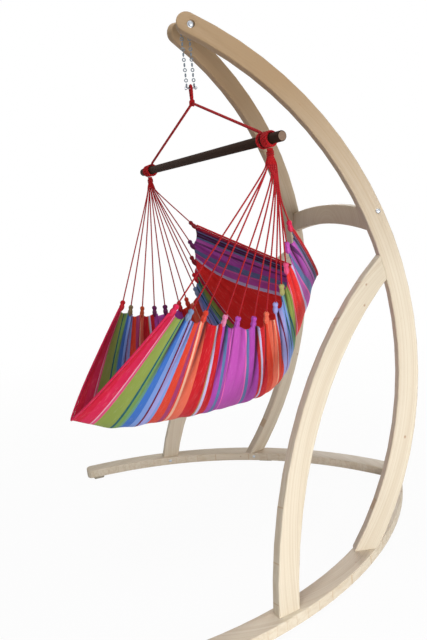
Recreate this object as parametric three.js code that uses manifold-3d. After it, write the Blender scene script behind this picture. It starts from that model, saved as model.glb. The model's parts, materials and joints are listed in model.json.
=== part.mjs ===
// Hammock chair in striped cloth, hung from a curved stand of laminated spruce.
// Millimetres, +Z up. The seat opens towards -Y, and the sitter's left side is on +X.
// The stand is mirrored about X = 0. Origin: on the floor, under the middle of the whole part.
import * as THREE from 'three';
import Module from 'manifold-3d';
import { mergeVertices } from 'three/addons/utils/BufferGeometryUtils.js';

const wasm = await Module();
wasm.setup();

// Clearances and edges
const FIT_GAP = 0.3;
const WIND_GAP = 0.6;
const EDGE_CHAMFER = 2.5;

// Working allowances: how far two joined solids reach into each other, how far outside a face
// a hole starts, how far a beam runs past its trimmed end, and the size of a cutting block
const JOIN = 1;
const DRILL_START = 30;
const BEAM_OVERRUN = 130;
const CUTTER_WIDTH = 5000;
const CUTTER_DEPTH = 400;

// Floor runners: two boards bent flat, mitred together at the rear
const PAD_HEIGHT = 10;
const RUNNER_HEIGHT = 40;
const RUNNER_WIDTH = 80;
const RUNNER_RADIUS = 1500;
const RUNNER_CENTRE_OFFSET = 704;
const RUNNER_CENTRE_Y = -517;
const RUNNER_FRONT_Y = -550;
const RUNNER_CORNER_RADIUS = 25;

// Foot pads: length along the runner, width across it, angle round the runner
const PAD_FRONT = { length: 52, width: 76, atAngle: 0.9 };
const PAD_SIDE = { length: 70, width: 44, atAngle: 36.2 };
const PAD_REAR = { length: 60, width: 60 };
const PAD_CORNER_RADIUS = 6;
const PAD_CHAMFER = 1.5;

// Arches: the two tall beams that meet over the seat
const BEAM_THICKNESS = 40;
const ARCH_DEPTH = 76;
const ARCH_RADIUS = 1427;
const ARCH_FOOT_Y = 322;
const ARCH_TOE_OUT = 0.24;
const APEX_HEIGHT = 2035;
const APEX_Y = -4;
const APEX_HALF_WIDTH = 83;
const APEX_PAST_BOLT = 14;

// Struts: from the runners up to the hollow side of the arches
const STRUT_DEPTH = 80;
const STRUT_RADIUS = 1642;
const STRUT_FOOT_Y = -101;
const STRUT_TOP_HEIGHT = 1078;
const STRUT_TOE_IN = 0.17;
const SCRIBE_ANGLE = 0.25;

// Crossbar between the arches
const CROSSBAR_DEPTH = 80;
const CROSSBAR_THICKNESS = 40;
const CROSSBAR_RADIUS = 1700;
const CROSSBAR_TOP_HEIGHT = 1318;
const CROSSBAR_REAR_INSET = 4;

// Tenons and screws
const TENON = { thickness: 16, length: 45, depth: 28 };
const TENON_ROOT = 9;
const SCREW_SHANK = 8;
const SCREW_HEAD = { diameter: 16, height: 5 };
const SCREW_RECESS = 1.5;
const FOOT_SCREW_HEIGHT = 31;
const FOOT_SCREW_LENGTH = 62;
const STRUT_SCREW_LENGTH = 118;
const STRUT_SCREW_RECESS = 10;
const CROSSBAR_SCREW_LENGTH = 72;
const CROSSBAR_SCREW_RISE = 30;
const DOME_HEAD = { diameter: 20, height: 5.5 };
const TONGUE = { length: 70, width: 40, height: 12 };
const SPLICE_SCREW = { head: { diameter: 13, height: 3.5 }, shank: 6, length: 28, atX: 20 };

// Apex bolt, its washers and the sleeve that carries the chain
const APEX_BOLT_DIAMETER = 8;
const APEX_HEX_ACROSS = 15;
const APEX_HEX_HEIGHT = 5.5;
const APEX_BOLT_END = 3;
const WASHER = { diameter: 27, height: 2 };
const SPOT_FACE_DIAMETER = 31;
const SPOT_FACE_DEPTH = 8;
const SLEEVE_DIAMETER = 12;
const SLEEVE_SINK = 3;

// Chain: two strands over the sleeve, with a pin through the lowest links
const LINK_WIRE = 4;
const LINK_PITCH = 19;
const LINK_BITE = 1.3;
const LINK_WIDTH = 15.6;
const STRAND_SPACING = 31;
const LINKS_PER_STRAND = 12;
const PIN_DIAMETER = 7;
const PIN_HEAD = { diameter: 13, height: 5 };
const PIN_END = 4;

// Rope and spreader bar
const ROPE_DIAMETER = 10.5;
const KNOT = { width: 30, height: 30, drop: 56 };
const BAR_DROP = 210;
const BAR_DIAMETER = 34;
const BAR_LENGTH = 1200;
const BAR_YAW = 8.8;
const ROPE_TURN_AT = 483;
const ROPE_LEAD = { back: 22, aside: 4, rise: 9 };
const LOOP_LEGS = { halfAtKnot: 4, drawnIn: 1 };

// Cord windings and bundles near the ends of the bar
const WIND_DIAMETER = 9;
const WIND_TURNS = 4;
const WIND_AT = 523;
const BUNDLE = { top: 30, bottom: 27, length: 52, taperFrom: 16, taperTo: 39 };

// Seat cords and cloth
const CORD_DIAMETER = 5;
const CORD_STARTS_APART = 3.6;
const CORD_ROWS_APART = 8;
const CORD_KNOT = { end: 7, width: 18, length: 16 };
const CLOTH_THICKNESS = 2.5;
const HEM_DIAMETER = 9;
const HEM_REACH = 0.97;
const SAG_POWER = 2.3;
const SIDE_BULGE = 0.31;
const FRONT_DRAW = { sagPower: 1.2, bulge: 0.05, rows: 3.5 };
const BACK_DRAW = { sagPower: 1.15, bulge: 0, rows: 3 };
const FOLD_DEPTH = 16;
const FOLD_FADE = 2.2;
const SCALLOP_DEPTH = 30;
const SCALLOP_FADE = 9;

// The cloth as it hangs: half its width at the back hem, its length along the low line from the
// front tip to the back hem, and how far below the bar its lowest point hangs
const SEAT_HALF_WIDTH = 405;
const SEAT_LENGTH = 1180;
const SEAT_DROP = 1020;

// The shape that the cords give the cloth, from the front to the back, scaled to the three
// sizes above. Each row is one pair of knots and the lowest point of the cloth between them:
// half is the distance from the seat's middle plane, right, left and low are [y, z] from the
// middle of the spreader bar.
const KNOT_ROWS = [
  { half: 290, right: [-300, -535], left: [-295, -575], low: [-645, -935] },
  { half: 305, right: [-250, -560], left: [-255, -605], low: [-490, -1005] },
  { half: 310, right: [-195, -575], left: [-200, -620], low: [-345, -1020] },
  { half: 325, right: [-125, -600], left: [-135, -630], low: [-230, -1020] },
  { half: 330, right: [-75, -615], left: [-80, -635], low: [-120, -1020] },
  { half: 335, right: [-10, -625], left: [-5, -630], low: [-20, -1020] },
  { half: 345, right: [40, -615], left: [40, -620], low: [80, -1015] },
  { half: 350, right: [80, -585], left: [95, -580], low: [155, -1000] },
  { half: 365, right: [105, -520], left: [105, -515], low: [220, -950] },
  { half: 390, right: [115, -440], left: [115, -435], low: [287, -860] },
  { half: 400, right: [120, -365], left: [120, -360], low: [425, -710] },
  { half: 405, right: [135, -290], left: [140, -270], low: [535, -550] },
];

// Facets
const LONG_ARC_STEPS = 24;
const BEAM_STEPS = 14;
const ROUND_SIDES = 10;
const HEX_SIDES = 6;
const LINK_SIDES = 5;
const LINK_BEND_STEPS = 3;
const ROPE_SIDES = 8;
const KNOT_SIDES = 12;
const ROPE_TURN_POINTS = 16;
const KNOT_RINGS = 6;
const LOOP_STEPS = 20;
const LOOP_BEND_SIDES = 9;
const HEM_STEPS = 22;
const WIND_SIDES = 6;
const WIND_STEPS_PER_TURN = 16;
const CLOTH_STEPS_PER_KNOT = 4;
const CLOTH_ACROSS = 10;
const CORNER_STEPS = 4;
const PAD_CORNER_STEPS = 2;
const TIP_STEPS = 10;
const SCRIBE_STEPS = 40;
const DOME_STEPS = 3;
const LOOP_ARC_POINTS = 4;
const ROPE_TURN_STEPS = 20;

// Colours
const SPRUCE = { color: 0xd9c7a6, roughness: 0.55, metalness: 0 };
const STEEL = { color: 0xb9bcc0, roughness: 0.35, metalness: 1 };
const RUBBER = { color: 0x2b2b2c, roughness: 0.85, metalness: 0 };
const BAR_WOOD = { color: 0x5a2c1c, roughness: 0.5, metalness: 0 };
const ROPE_RED = { color: 0xb3202a, roughness: 0.9, metalness: 0 };
const CORD_MIX = { color: 0xa12c46, roughness: 0.9, metalness: 0 };
const CLOTH_MIX = { color: 0xb0305a, roughness: 0.9, metalness: 0 };

const DEGREE = Math.PI / 180;
const QUARTER_TURN = Math.PI / 2;
const FULL_TURN = 2 * Math.PI;
const WELD = 1e-4;

// Small steps for the cloth's slope, in its own k and v
const NORMAL_STEP = 0.02;
const EDGE_PROBE = 0.97;

const vec = (x, y, z) => new THREE.Vector3(x, y, z);
const X_AXIS = vec(1, 0, 0);
const Y_AXIS = vec(0, 1, 0);
const UP = vec(0, 0, 1);

// Solids: a closed three.js geometry goes in, a welded manifold comes out, and back again
function welded(geometry) {
  const bare = geometry.clone();
  bare.deleteAttribute('normal');
  bare.deleteAttribute('uv');
  return mergeVertices(bare, WELD);
}

function solid(geometry) {
  const mesh = welded(geometry);
  const position = mesh.attributes.position.array;
  const index = mesh.index.array;
  const kept = [];
  for (let i = 0; i < index.length; i += 3) {
    const [a, b, c] = [index[i], index[i + 1], index[i + 2]];
    if (a !== b && b !== c && c !== a) kept.push(a, b, c);
  }
  if (signedVolume(position, kept) < 0) kept.reverse();
  return new wasm.Manifold(new wasm.Mesh({
    numProp: 3,
    vertProperties: Float32Array.from(position),
    triVerts: Uint32Array.from(kept),
  }));
}

function signedVolume(position, index) {
  const corner = (i) => vec(position[3 * i], position[3 * i + 1], position[3 * i + 2]);
  let sum = 0;
  for (let i = 0; i < index.length; i += 3) {
    sum += corner(index[i]).dot(corner(index[i + 1]).cross(corner(index[i + 2])));
  }
  return sum / 6;
}

function geometryOf(body) {
  const mesh = body.getMesh();
  const geometry = new THREE.BufferGeometry();
  geometry.setAttribute('position', new THREE.BufferAttribute(Float32Array.from(mesh.vertProperties), 3));
  geometry.setIndex(Array.from(mesh.triVerts));
  geometry.computeVertexNormals();
  return geometry;
}

function joined(bodies) {
  return bodies.reduce((all, body) => all.add(body));
}

function cut(body, cutters) {
  return cutters.reduce((rest, cutter) => rest.subtract(cutter), body);
}

function mirrored(geometry) {
  return geometry.clone().applyMatrix4(new THREE.Matrix4().makeScale(-1, 1, 1));
}

// Basic shapes
function arcPoints(centre, radius, from, to, steps) {
  return Array.from({ length: steps + 1 }, (_, i) => {
    const angle = from + (to - from) * i / steps;
    return new THREE.Vector2(centre.x + radius * Math.cos(angle), centre.y + radius * Math.sin(angle));
  });
}

function roundShape(radius, sides) {
  return new THREE.Shape(arcPoints({ x: 0, y: 0 }, radius, 0, FULL_TURN * (1 - 1 / sides), sides - 1));
}

function boxAt(size, centre) {
  return new THREE.BoxGeometry(size.x, size.y, size.z).translate(centre.x, centre.y, centre.z);
}

// A turned piece: profile is a list of [radius, distance along the axis] from start to end
function turned(profile, origin, direction, sides = ROUND_SIDES) {
  const points = profile.map(([radius, along]) => new THREE.Vector2(radius, along));
  const turn = new THREE.Quaternion().setFromUnitVectors(vec(0, 1, 0), direction.clone().normalize());
  return new THREE.LatheGeometry(points, sides).applyQuaternion(turn)
    .translate(origin.x, origin.y, origin.z);
}

function rod(diameter, origin, direction, length, sides = ROUND_SIDES) {
  const radius = diameter / 2;
  return turned([[0, 0], [radius, 0], [radius, length], [0, length]], origin, direction, sides);
}

function screw(head, shank, length, origin, direction) {
  const profile = [[0, 0], [head.diameter / 2, 0], [head.diameter / 2, head.height],
    [shank / 2, head.height], [shank / 2, length], [0, length]];
  return turned(profile, origin, direction);
}

function tube(curve, diameter, steps, sides) {
  return new THREE.ExtrudeGeometry(roundShape(diameter / 2, sides), {
    steps, extrudePath: curve, bevelEnabled: false,
  });
}

// A flat outline with chamfered edges; it fills z from -thickness to 0 of its own frame
function board(points, thickness, edge = EDGE_CHAMFER) {
  return new THREE.ExtrudeGeometry(new THREE.Shape(points), {
    depth: thickness - 2 * edge, steps: 1,
    bevelEnabled: true, bevelSegments: 1, bevelThickness: edge, bevelSize: edge, bevelOffset: -edge,
  }).translate(0, 0, edge - thickness);
}

// A leaning plane: x = base + slopeY * y + slopeZ * z, facing +X. Flat coordinates are
// p (rearwards along the plane) and q (up it); depth goes inwards.
function leaningPlane(base, slopeY, slopeZ) {
  const normal = vec(1, -slopeY, -slopeZ).normalize();
  const along = vec(slopeY, 1, 0).normalize();
  const rise = normal.clone().cross(along);
  const origin = vec(base, 0, 0);
  const matrix = new THREE.Matrix4().makeBasis(along, rise, normal).setPosition(origin);
  return {
    normal, along, rise, matrix,
    point: (p, q, depth = 0) => vec(p, q, -depth).applyMatrix4(matrix),
    flat: (point) => {
      const local = point.clone().sub(origin);
      return new THREE.Vector2(local.dot(along), local.dot(rise));
    },
    xAt: (y, z) => base + slopeY * y + slopeZ * z,
  };
}

// Centre of the arc with the given radius through two points, left of the way from a to b
// when side is 1, and right of it when side is -1
function arcCentre(a, b, radius, side) {
  const middle = a.clone().add(b).multiplyScalar(0.5);
  const chord = b.clone().sub(a);
  const offset = Math.sqrt(radius * radius - chord.lengthSq() / 4);
  return middle.add(new THREE.Vector2(-chord.y, chord.x).setLength(side * offset));
}

const angleFrom = (centre, point) => Math.atan2(point.y - centre.y, point.x - centre.x);

// The plane of a beam whose foot and head are given on its middle: slopeY is chosen, and the
// outer face lies half a thickness outside the middle
function beamPlane(foot, head, slopeY) {
  const slopeZ = (head.x - foot.x - slopeY * (head.y - foot.y)) / (head.z - foot.z);
  const half = BEAM_THICKNESS / 2 * Math.hypot(1, slopeY, slopeZ);
  return leaningPlane(foot.x - slopeY * foot.y - slopeZ * foot.z + half, slopeY, slopeZ);
}

// Runners
const runnerTop = PAD_HEIGHT + RUNNER_HEIGHT;
const footCut = runnerTop + FIT_GAP;
const runnerCentre = new THREE.Vector2(-RUNNER_CENTRE_OFFSET, RUNNER_CENTRE_Y);
const runnerInner = RUNNER_RADIUS - RUNNER_WIDTH / 2;
const runnerOuter = RUNNER_RADIUS + RUNNER_WIDTH / 2;

function runnerX(y, radius = RUNNER_RADIUS) {
  return runnerCentre.x + Math.sqrt(radius ** 2 - (y - runnerCentre.y) ** 2);
}

function onRunner(degrees, z, radius = RUNNER_RADIUS) {
  const angle = degrees * DEGREE;
  return vec(runnerCentre.x + radius * Math.cos(angle), runnerCentre.y + radius * Math.sin(angle), z);
}

function runnerOutline() {
  const corner = RUNNER_CORNER_RADIUS;
  const cornerY = RUNNER_FRONT_Y + corner;
  const start = (radius) => Math.asin((cornerY - runnerCentre.y) / radius);
  const end = (radius) => Math.acos((-FIT_GAP / 2 - runnerCentre.x) / radius);
  const outerStart = start(runnerOuter - corner);
  const innerStart = start(runnerInner + corner);
  const outerCorner = { x: runnerX(cornerY, runnerOuter - corner), y: cornerY };
  const innerCorner = { x: runnerX(cornerY, runnerInner + corner), y: cornerY };
  return [
    ...arcPoints(runnerCentre, runnerOuter, outerStart, end(runnerOuter), LONG_ARC_STEPS),
    ...arcPoints(runnerCentre, runnerInner, end(runnerInner), innerStart, LONG_ARC_STEPS),
    ...arcPoints(innerCorner, corner, Math.PI, 3 * QUARTER_TURN, CORNER_STEPS).slice(1),
    ...arcPoints(outerCorner, corner, 3 * QUARTER_TURN, FULL_TURN, CORNER_STEPS).slice(0, -1),
  ];
}

// Arch and strut planes, from the places where the beams stand and meet
const archFoot = vec(runnerX(ARCH_FOOT_Y), ARCH_FOOT_Y, runnerTop);
const apex = vec(APEX_HALF_WIDTH - BEAM_THICKNESS / 2, APEX_Y, APEX_HEIGHT);
const archPlane = beamPlane(archFoot, apex, ARCH_TOE_OUT);
const archFootFlat = archPlane.flat(archFoot);
const apexFlat = archPlane.flat(apex);
const archCentre = arcCentre(archFootFlat, apexFlat, ARCH_RADIUS, 1);
const archHollow = ARCH_RADIUS - ARCH_DEPTH / 2;
const archBack = ARCH_RADIUS + ARCH_DEPTH / 2;
const archFootAngle = angleFrom(archCentre, archFootFlat);
const apexAngle = angleFrom(archCentre, apexFlat);
const archStart = archFootAngle - BEAM_OVERRUN / ARCH_RADIUS;
const archEnd = apexAngle + APEX_PAST_BOLT / ARCH_RADIUS;
const archHollowFacet = archHollow * Math.cos((archEnd - archStart) / (2 * LONG_ARC_STEPS));

function onArch(height, radius, depth) {
  const q = height / archPlane.rise.z;
  const angle = Math.asin((q - archCentre.y) / radius);
  return archPlane.point(archCentre.x + radius * Math.cos(angle), q, depth);
}

const strutHead = onArch(STRUT_TOP_HEIGHT, archHollow, BEAM_THICKNESS / 2);
const strutFoot = vec(runnerX(STRUT_FOOT_Y), STRUT_FOOT_Y, runnerTop);
const strutPlane = beamPlane(strutFoot, strutHead, -STRUT_TOE_IN);
const strutFootFlat = strutPlane.flat(strutFoot);
const strutHeadFlat = strutPlane.flat(strutHead);
const strutCentre = arcCentre(strutFootFlat, strutHeadFlat, STRUT_RADIUS, -1);
const strutFootAngle = angleFrom(strutCentre, strutFootFlat);
const strutHeadAngle = angleFrom(strutCentre, strutHeadFlat);

const belowFeet = solid(boxAt(vec(CUTTER_WIDTH, CUTTER_WIDTH, CUTTER_DEPTH),
  vec(0, 0, footCut - CUTTER_DEPTH / 2)));

// Tenon under a beam's foot and the matching mortise, turned along the beam
function tenonBox(foot, along, grow) {
  const top = grow > 0 ? runnerTop + TENON_ROOT : footCut + TENON_ROOT;
  const bottom = runnerTop - TENON.depth - grow;
  return new THREE.BoxGeometry(TENON.length + 2 * grow, TENON.thickness + 2 * grow, top - bottom)
    .rotateZ(Math.atan2(along.y, along.x)).translate(foot.x, foot.y, (top + bottom) / 2);
}

// Screw from the runner's inner side, through the tenon
function footScrewAxis(foot) {
  const outward = vec(foot.x - runnerCentre.x, foot.y - runnerCentre.y, 0).normalize();
  const start = vec(runnerCentre.x, runnerCentre.y, FOOT_SCREW_HEIGHT)
    .addScaledVector(outward, runnerInner + SCREW_RECESS);
  return { start, outward };
}

function footScrew(foot) {
  const { start, outward } = footScrewAxis(foot);
  return screw(SCREW_HEAD, SCREW_SHANK, FOOT_SCREW_LENGTH, start, outward);
}

// Holes for a screw's shank and head, clear of it all round, from outside the face it enters
function screwHoles(head, shank, length, start, way) {
  return [hole(shank, length, start, way), hole(head.diameter, head.height, start, way)];
}

function hole(diameter, depth, start, way) {
  const outside = start.clone().addScaledVector(way, -DRILL_START);
  return solid(rod(diameter + 2 * FIT_GAP, outside, way, DRILL_START + depth + FIT_GAP));
}

function footScrewHoles(foot) {
  const { start, outward } = footScrewAxis(foot);
  return screwHoles(SCREW_HEAD, SCREW_SHANK, FOOT_SCREW_LENGTH, start, outward);
}

// Arch
function archOutline() {
  const tip = {
    x: archCentre.x + ARCH_RADIUS * Math.cos(archEnd),
    y: archCentre.y + ARCH_RADIUS * Math.sin(archEnd),
  };
  return [
    ...arcPoints(archCentre, archBack, archStart, archEnd, LONG_ARC_STEPS),
    ...arcPoints(tip, ARCH_DEPTH / 2, archEnd, archEnd + Math.PI, TIP_STEPS).slice(1, -1),
    ...arcPoints(archCentre, archHollow, archEnd, archStart, LONG_ARC_STEPS),
  ];
}

// Apex hardware lies along X
const spotFaceX = archPlane.xAt(APEX_Y, APEX_HEIGHT) - SPOT_FACE_DEPTH;
const innerFaceX = spotFaceX + SPOT_FACE_DEPTH - BEAM_THICKNESS / archPlane.normal.x;
const sleeveHalf = innerFaceX + SLEEVE_SINK - FIT_GAP;
const apexAt = (x) => vec(x, APEX_Y, APEX_HEIGHT);

function apexHoles() {
  return [
    solid(rod(APEX_BOLT_DIAMETER + 2 * FIT_GAP, apexAt(0), X_AXIS, CUTTER_DEPTH)),
    solid(rod(SPOT_FACE_DIAMETER, apexAt(spotFaceX), X_AXIS, CUTTER_DEPTH, 2 * ROUND_SIDES)),
    solid(rod(SLEEVE_DIAMETER + 2 * FIT_GAP, apexAt(0), X_AXIS, innerFaceX + SLEEVE_SINK)),
  ];
}

// Screw through the arch into the end of the strut, square to the arch's back
const strutJoint = archPlane.flat(strutHead);
const strutJointAngle = angleFrom(archCentre, strutJoint);
const strutScrewWay = archPlane.along.clone().multiplyScalar(-Math.cos(strutJointAngle))
  .addScaledVector(archPlane.rise, -Math.sin(strutJointAngle));
const strutScrewStart = archPlane.point(
  archCentre.x + (archBack - STRUT_SCREW_RECESS) * Math.cos(strutJointAngle),
  archCentre.y + (archBack - STRUT_SCREW_RECESS) * Math.sin(strutJointAngle), BEAM_THICKNESS / 2);

function strutScrewHoles() {
  return screwHoles(SCREW_HEAD, SCREW_SHANK, STRUT_SCREW_LENGTH, strutScrewStart, strutScrewWay);
}

// Crossbar: an arched board whose rear face is set in a little from the arches' backs
const crossbarMiddle = CROSSBAR_TOP_HEIGHT - CROSSBAR_DEPTH / 2;
const crossbarRear = onArch(crossbarMiddle, archBack, BEAM_THICKNESS).y - CROSSBAR_REAR_INSET;
const crossbarY = crossbarRear - CROSSBAR_THICKNESS / 2;
const crossbarCentreZ = crossbarMiddle - CROSSBAR_RADIUS;
const crossbarEndX = archPlane.xAt(crossbarY, crossbarMiddle) - BEAM_THICKNESS;
const crossbarEndZ = crossbarCentreZ + Math.sqrt(CROSSBAR_RADIUS ** 2 - crossbarEndX ** 2);
const crossbarScrewWay = archPlane.normal.clone().negate();
const crossbarScrewStart = crossbarScrewPlace();

// The screw's place on the arch's outer face, in the middle of the crossbar's thickness
function crossbarScrewPlace() {
  const end = vec(archPlane.xAt(crossbarY, crossbarEndZ) - BEAM_THICKNESS / archPlane.normal.x,
    crossbarY, crossbarEndZ + CROSSBAR_SCREW_RISE);
  const flat = archPlane.flat(end);
  return archPlane.point(flat.x, flat.y, 0);
}

function crossbarScrewHole() {
  return hole(SCREW_SHANK, CROSSBAR_SCREW_LENGTH, crossbarScrewStart, crossbarScrewWay);
}

function crossbarScrew() {
  const radius = DOME_HEAD.diameter / 2;
  const shank = SCREW_SHANK / 2;
  const dome = Array.from({ length: DOME_STEPS }, (_, i) => {
    const angle = QUARTER_TURN * i / DOME_STEPS;
    return [radius * Math.sin(angle), -DOME_HEAD.height * Math.cos(angle)];
  });
  const profile = [...dome, [radius, -FIT_GAP], [shank, -FIT_GAP],
    [shank, CROSSBAR_SCREW_LENGTH], [0, CROSSBAR_SCREW_LENGTH]];
  return turned(profile, crossbarScrewStart, crossbarScrewWay);
}

// A wedge of space outside the arch's inner face, kept FIT_GAP clear of it
function archKeepOut() {
  return new THREE.BoxGeometry(CUTTER_WIDTH, CUTTER_WIDTH, CUTTER_DEPTH)
    .translate(0, 0, CUTTER_DEPTH / 2 - BEAM_THICKNESS - FIT_GAP).applyMatrix4(archPlane.matrix);
}

function crossbar() {
  const spread = Math.asin((crossbarEndX + BEAM_OVERRUN) / CROSSBAR_RADIUS);
  const centre = { x: 0, y: 0 };
  const [from, to] = [QUARTER_TURN - spread, QUARTER_TURN + spread];
  const outline = [
    ...arcPoints(centre, CROSSBAR_RADIUS + CROSSBAR_DEPTH / 2, from, to, BEAM_STEPS),
    ...arcPoints(centre, CROSSBAR_RADIUS - CROSSBAR_DEPTH / 2, to, from, BEAM_STEPS),
  ];
  const bar = board(outline, CROSSBAR_THICKNESS).rotateX(QUARTER_TURN)
    .translate(0, crossbarY - CROSSBAR_THICKNESS / 2, crossbarCentreZ);
  const cutters = [archKeepOut(), geometryOf(crossbarScrewHole())];
  return cut(solid(bar), cutters.flatMap((cutter) => [solid(cutter), solid(mirrored(cutter))]));
}

function arch() {
  const beam = board(archOutline(), BEAM_THICKNESS).applyMatrix4(archPlane.matrix);
  const stem = solid(beam).subtract(belowFeet).add(solid(tenonBox(archFoot, archPlane.along, 0)));
  const screws = [...footScrewHoles(archFoot), ...strutScrewHoles(), crossbarScrewHole()];
  return cut(stem, [...screws, ...apexHoles()]);
}

// Strut: its head is scribed to the hollow side of the arch
function strut() {
  const inner = STRUT_RADIUS - STRUT_DEPTH / 2;
  const outer = STRUT_RADIUS + STRUT_DEPTH / 2;
  const from = strutFootAngle + BEAM_OVERRUN / STRUT_RADIUS;
  const to = strutHeadAngle - BEAM_OVERRUN / STRUT_RADIUS;
  const outline = [
    ...arcPoints(strutCentre, inner, from, to, BEAM_STEPS),
    ...arcPoints(strutCentre, outer, to, from, BEAM_STEPS),
  ];
  const beam = board(outline, BEAM_THICKNESS).applyMatrix4(strutPlane.matrix);
  const [low, high] = [strutJointAngle - SCRIBE_ANGLE, strutJointAngle + SCRIBE_ANGLE];
  const behind = new THREE.Shape([
    ...arcPoints(archCentre, archHollowFacet - FIT_GAP, low, high, SCRIBE_STEPS),
    ...arcPoints(archCentre, archBack + BEAM_OVERRUN, high, low, CORNER_STEPS),
  ]);
  const keepOut = new THREE.ExtrudeGeometry(behind, { depth: CUTTER_DEPTH, bevelEnabled: false })
    .translate(0, 0, -CUTTER_DEPTH / 2).applyMatrix4(archPlane.matrix);
  const stem = solid(beam).subtract(belowFeet).add(solid(tenonBox(strutFoot, strutPlane.along, 0)));
  return cut(stem, [solid(keepOut), ...footScrewHoles(strutFoot), ...strutScrewHoles()]);
}

// Rear splice: a loose tongue in both runners, held by a screw from below on each side
const spliceY = runnerCentre.y + Math.sqrt(RUNNER_RADIUS ** 2 - runnerCentre.x ** 2);
const tongueZ = PAD_HEIGHT + RUNNER_HEIGHT / 2;

function tongueBox(grow) {
  const size = vec(TONGUE.length + 2 * grow, TONGUE.width + 2 * grow, TONGUE.height + 2 * grow);
  return boxAt(size, vec(0, spliceY, tongueZ));
}

const spliceScrewStart = (x) => vec(x, spliceY, PAD_HEIGHT + FIT_GAP);

function spliceScrew(x) {
  const { head, shank, length } = SPLICE_SCREW;
  return screw(head, shank, length, spliceScrewStart(x), UP);
}

function spliceScrewHoles(x) {
  const { head, shank, length } = SPLICE_SCREW;
  return screwHoles(head, shank, length, spliceScrewStart(x), UP);
}

function tongue() {
  return cut(solid(tongueBox(0)),
    [...spliceScrewHoles(SPLICE_SCREW.atX), ...spliceScrewHoles(-SPLICE_SCREW.atX)]);
}

function runner() {
  const plank = board(runnerOutline(), RUNNER_HEIGHT).translate(0, 0, runnerTop);
  return cut(solid(plank), [
    solid(boxAt(vec(CUTTER_DEPTH, CUTTER_WIDTH, CUTTER_DEPTH), vec((FIT_GAP - CUTTER_DEPTH) / 2, 0, 0))),
    solid(tenonBox(archFoot, archPlane.along, FIT_GAP)), ...footScrewHoles(archFoot),
    solid(tenonBox(strutFoot, strutPlane.along, FIT_GAP)), ...footScrewHoles(strutFoot),
    solid(tongueBox(FIT_GAP)), ...spliceScrewHoles(SPLICE_SCREW.atX),
  ]);
}

function padOutline(size) {
  const r = PAD_CORNER_RADIUS;
  const [x, y] = [size.length / 2 - r, size.width / 2 - r];
  return [[x, y], [-x, y], [-x, -y], [x, -y]].flatMap(([cx, cy], i) => (
    arcPoints({ x: cx, y: cy }, r, i * QUARTER_TURN, (i + 1) * QUARTER_TURN, PAD_CORNER_STEPS)));
}

function pad(size, centre, turn) {
  return board(padOutline(size), PAD_HEIGHT - FIT_GAP, PAD_CHAMFER).rotateZ(turn)
    .translate(centre.x, centre.y, PAD_HEIGHT - FIT_GAP);
}

// Apex bolt, nut, washers and sleeve; the head and the nut seat on the washers
const hexSeat = spotFaceX + WASHER.height + 2 * FIT_GAP;

function hexPrism(side) {
  const across = APEX_HEX_ACROSS / Math.cos(Math.PI / HEX_SIDES);
  const outward = X_AXIS.clone().multiplyScalar(side);
  return solid(rod(across, apexAt(side * hexSeat), outward, APEX_HEX_HEIGHT, HEX_SIDES));
}

function apexBolt() {
  const end = hexSeat + APEX_HEX_HEIGHT + APEX_BOLT_END;
  return hexPrism(1).add(solid(rod(APEX_BOLT_DIAMETER, apexAt(-end), X_AXIS, end + hexSeat + JOIN)));
}

function apexNut() {
  const bore = rod(APEX_BOLT_DIAMETER + 2 * FIT_GAP, apexAt(-CUTTER_DEPTH), X_AXIS, CUTTER_DEPTH);
  return hexPrism(-1).subtract(solid(bore));
}

// A ring with a square section: outer and bore diameters, from the start point along a direction
function ring(outer, bore, height, start, direction) {
  const [o, b] = [outer / 2, bore / 2];
  return turned([[b, 0], [o, 0], [o, height], [b, height], [b, 0]], start, direction);
}

function apexWasher() {
  const bore = APEX_BOLT_DIAMETER + 2 * FIT_GAP;
  return ring(WASHER.diameter, bore, WASHER.height, apexAt(spotFaceX + FIT_GAP), X_AXIS);
}

function apexSleeve() {
  const bore = APEX_BOLT_DIAMETER + 2 * FIT_GAP;
  return ring(SLEEVE_DIAMETER, bore, 2 * sleeveHalf, apexAt(-sleeveHalf), X_AXIS);
}

// Chain link: an oval of round wire, long along axis and flat in the plane of axis and side.
// In a strand each link bears on the next by LINK_BITE, so a strand is one body.
function linkGeometry(centre, axis, side, innerLength) {
  const bend = (LINK_WIDTH - LINK_WIRE) / 2;
  const straight = innerLength / 2 + LINK_WIRE / 2 - bend;
  const stations = [];
  for (const end of [1, -1]) {
    for (let i = 0; i <= LINK_BEND_STEPS; i += 1) {
      const angle = Math.PI * i / LINK_BEND_STEPS;
      const [c, s] = [end * Math.cos(angle) * bend, end * (straight + Math.sin(angle) * bend)];
      const point = centre.clone().addScaledVector(side, c).addScaledVector(axis, s);
      const outward = side.clone().multiplyScalar(end * Math.cos(angle))
        .addScaledVector(axis, end * Math.sin(angle));
      stations.push({ point, outward });
    }
  }
  const across = axis.clone().cross(side);
  return closedTube(stations, across, LINK_WIRE / 2, LINK_SIDES);
}

function closedTube(stations, across, radius, sides) {
  const position = [];
  for (const { point, outward } of stations) {
    for (let j = 0; j < sides; j += 1) {
      const angle = FULL_TURN * j / sides;
      position.push(...point.clone().addScaledVector(outward, radius * Math.cos(angle))
        .addScaledVector(across, radius * Math.sin(angle)).toArray());
    }
  }
  const index = [];
  const count = stations.length;
  for (let i = 0; i < count; i += 1) {
    for (let j = 0; j < sides; j += 1) {
      const a = i * sides + j;
      const b = i * sides + (j + 1) % sides;
      const c = ((i + 1) % count) * sides + j;
      const d = ((i + 1) % count) * sides + (j + 1) % sides;
      index.push(a, b, d, a, d, c);
    }
  }
  const geometry = new THREE.BufferGeometry();
  geometry.setAttribute('position', new THREE.Float32BufferAttribute(position, 3));
  geometry.setIndex(index);
  return geometry;
}

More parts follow.
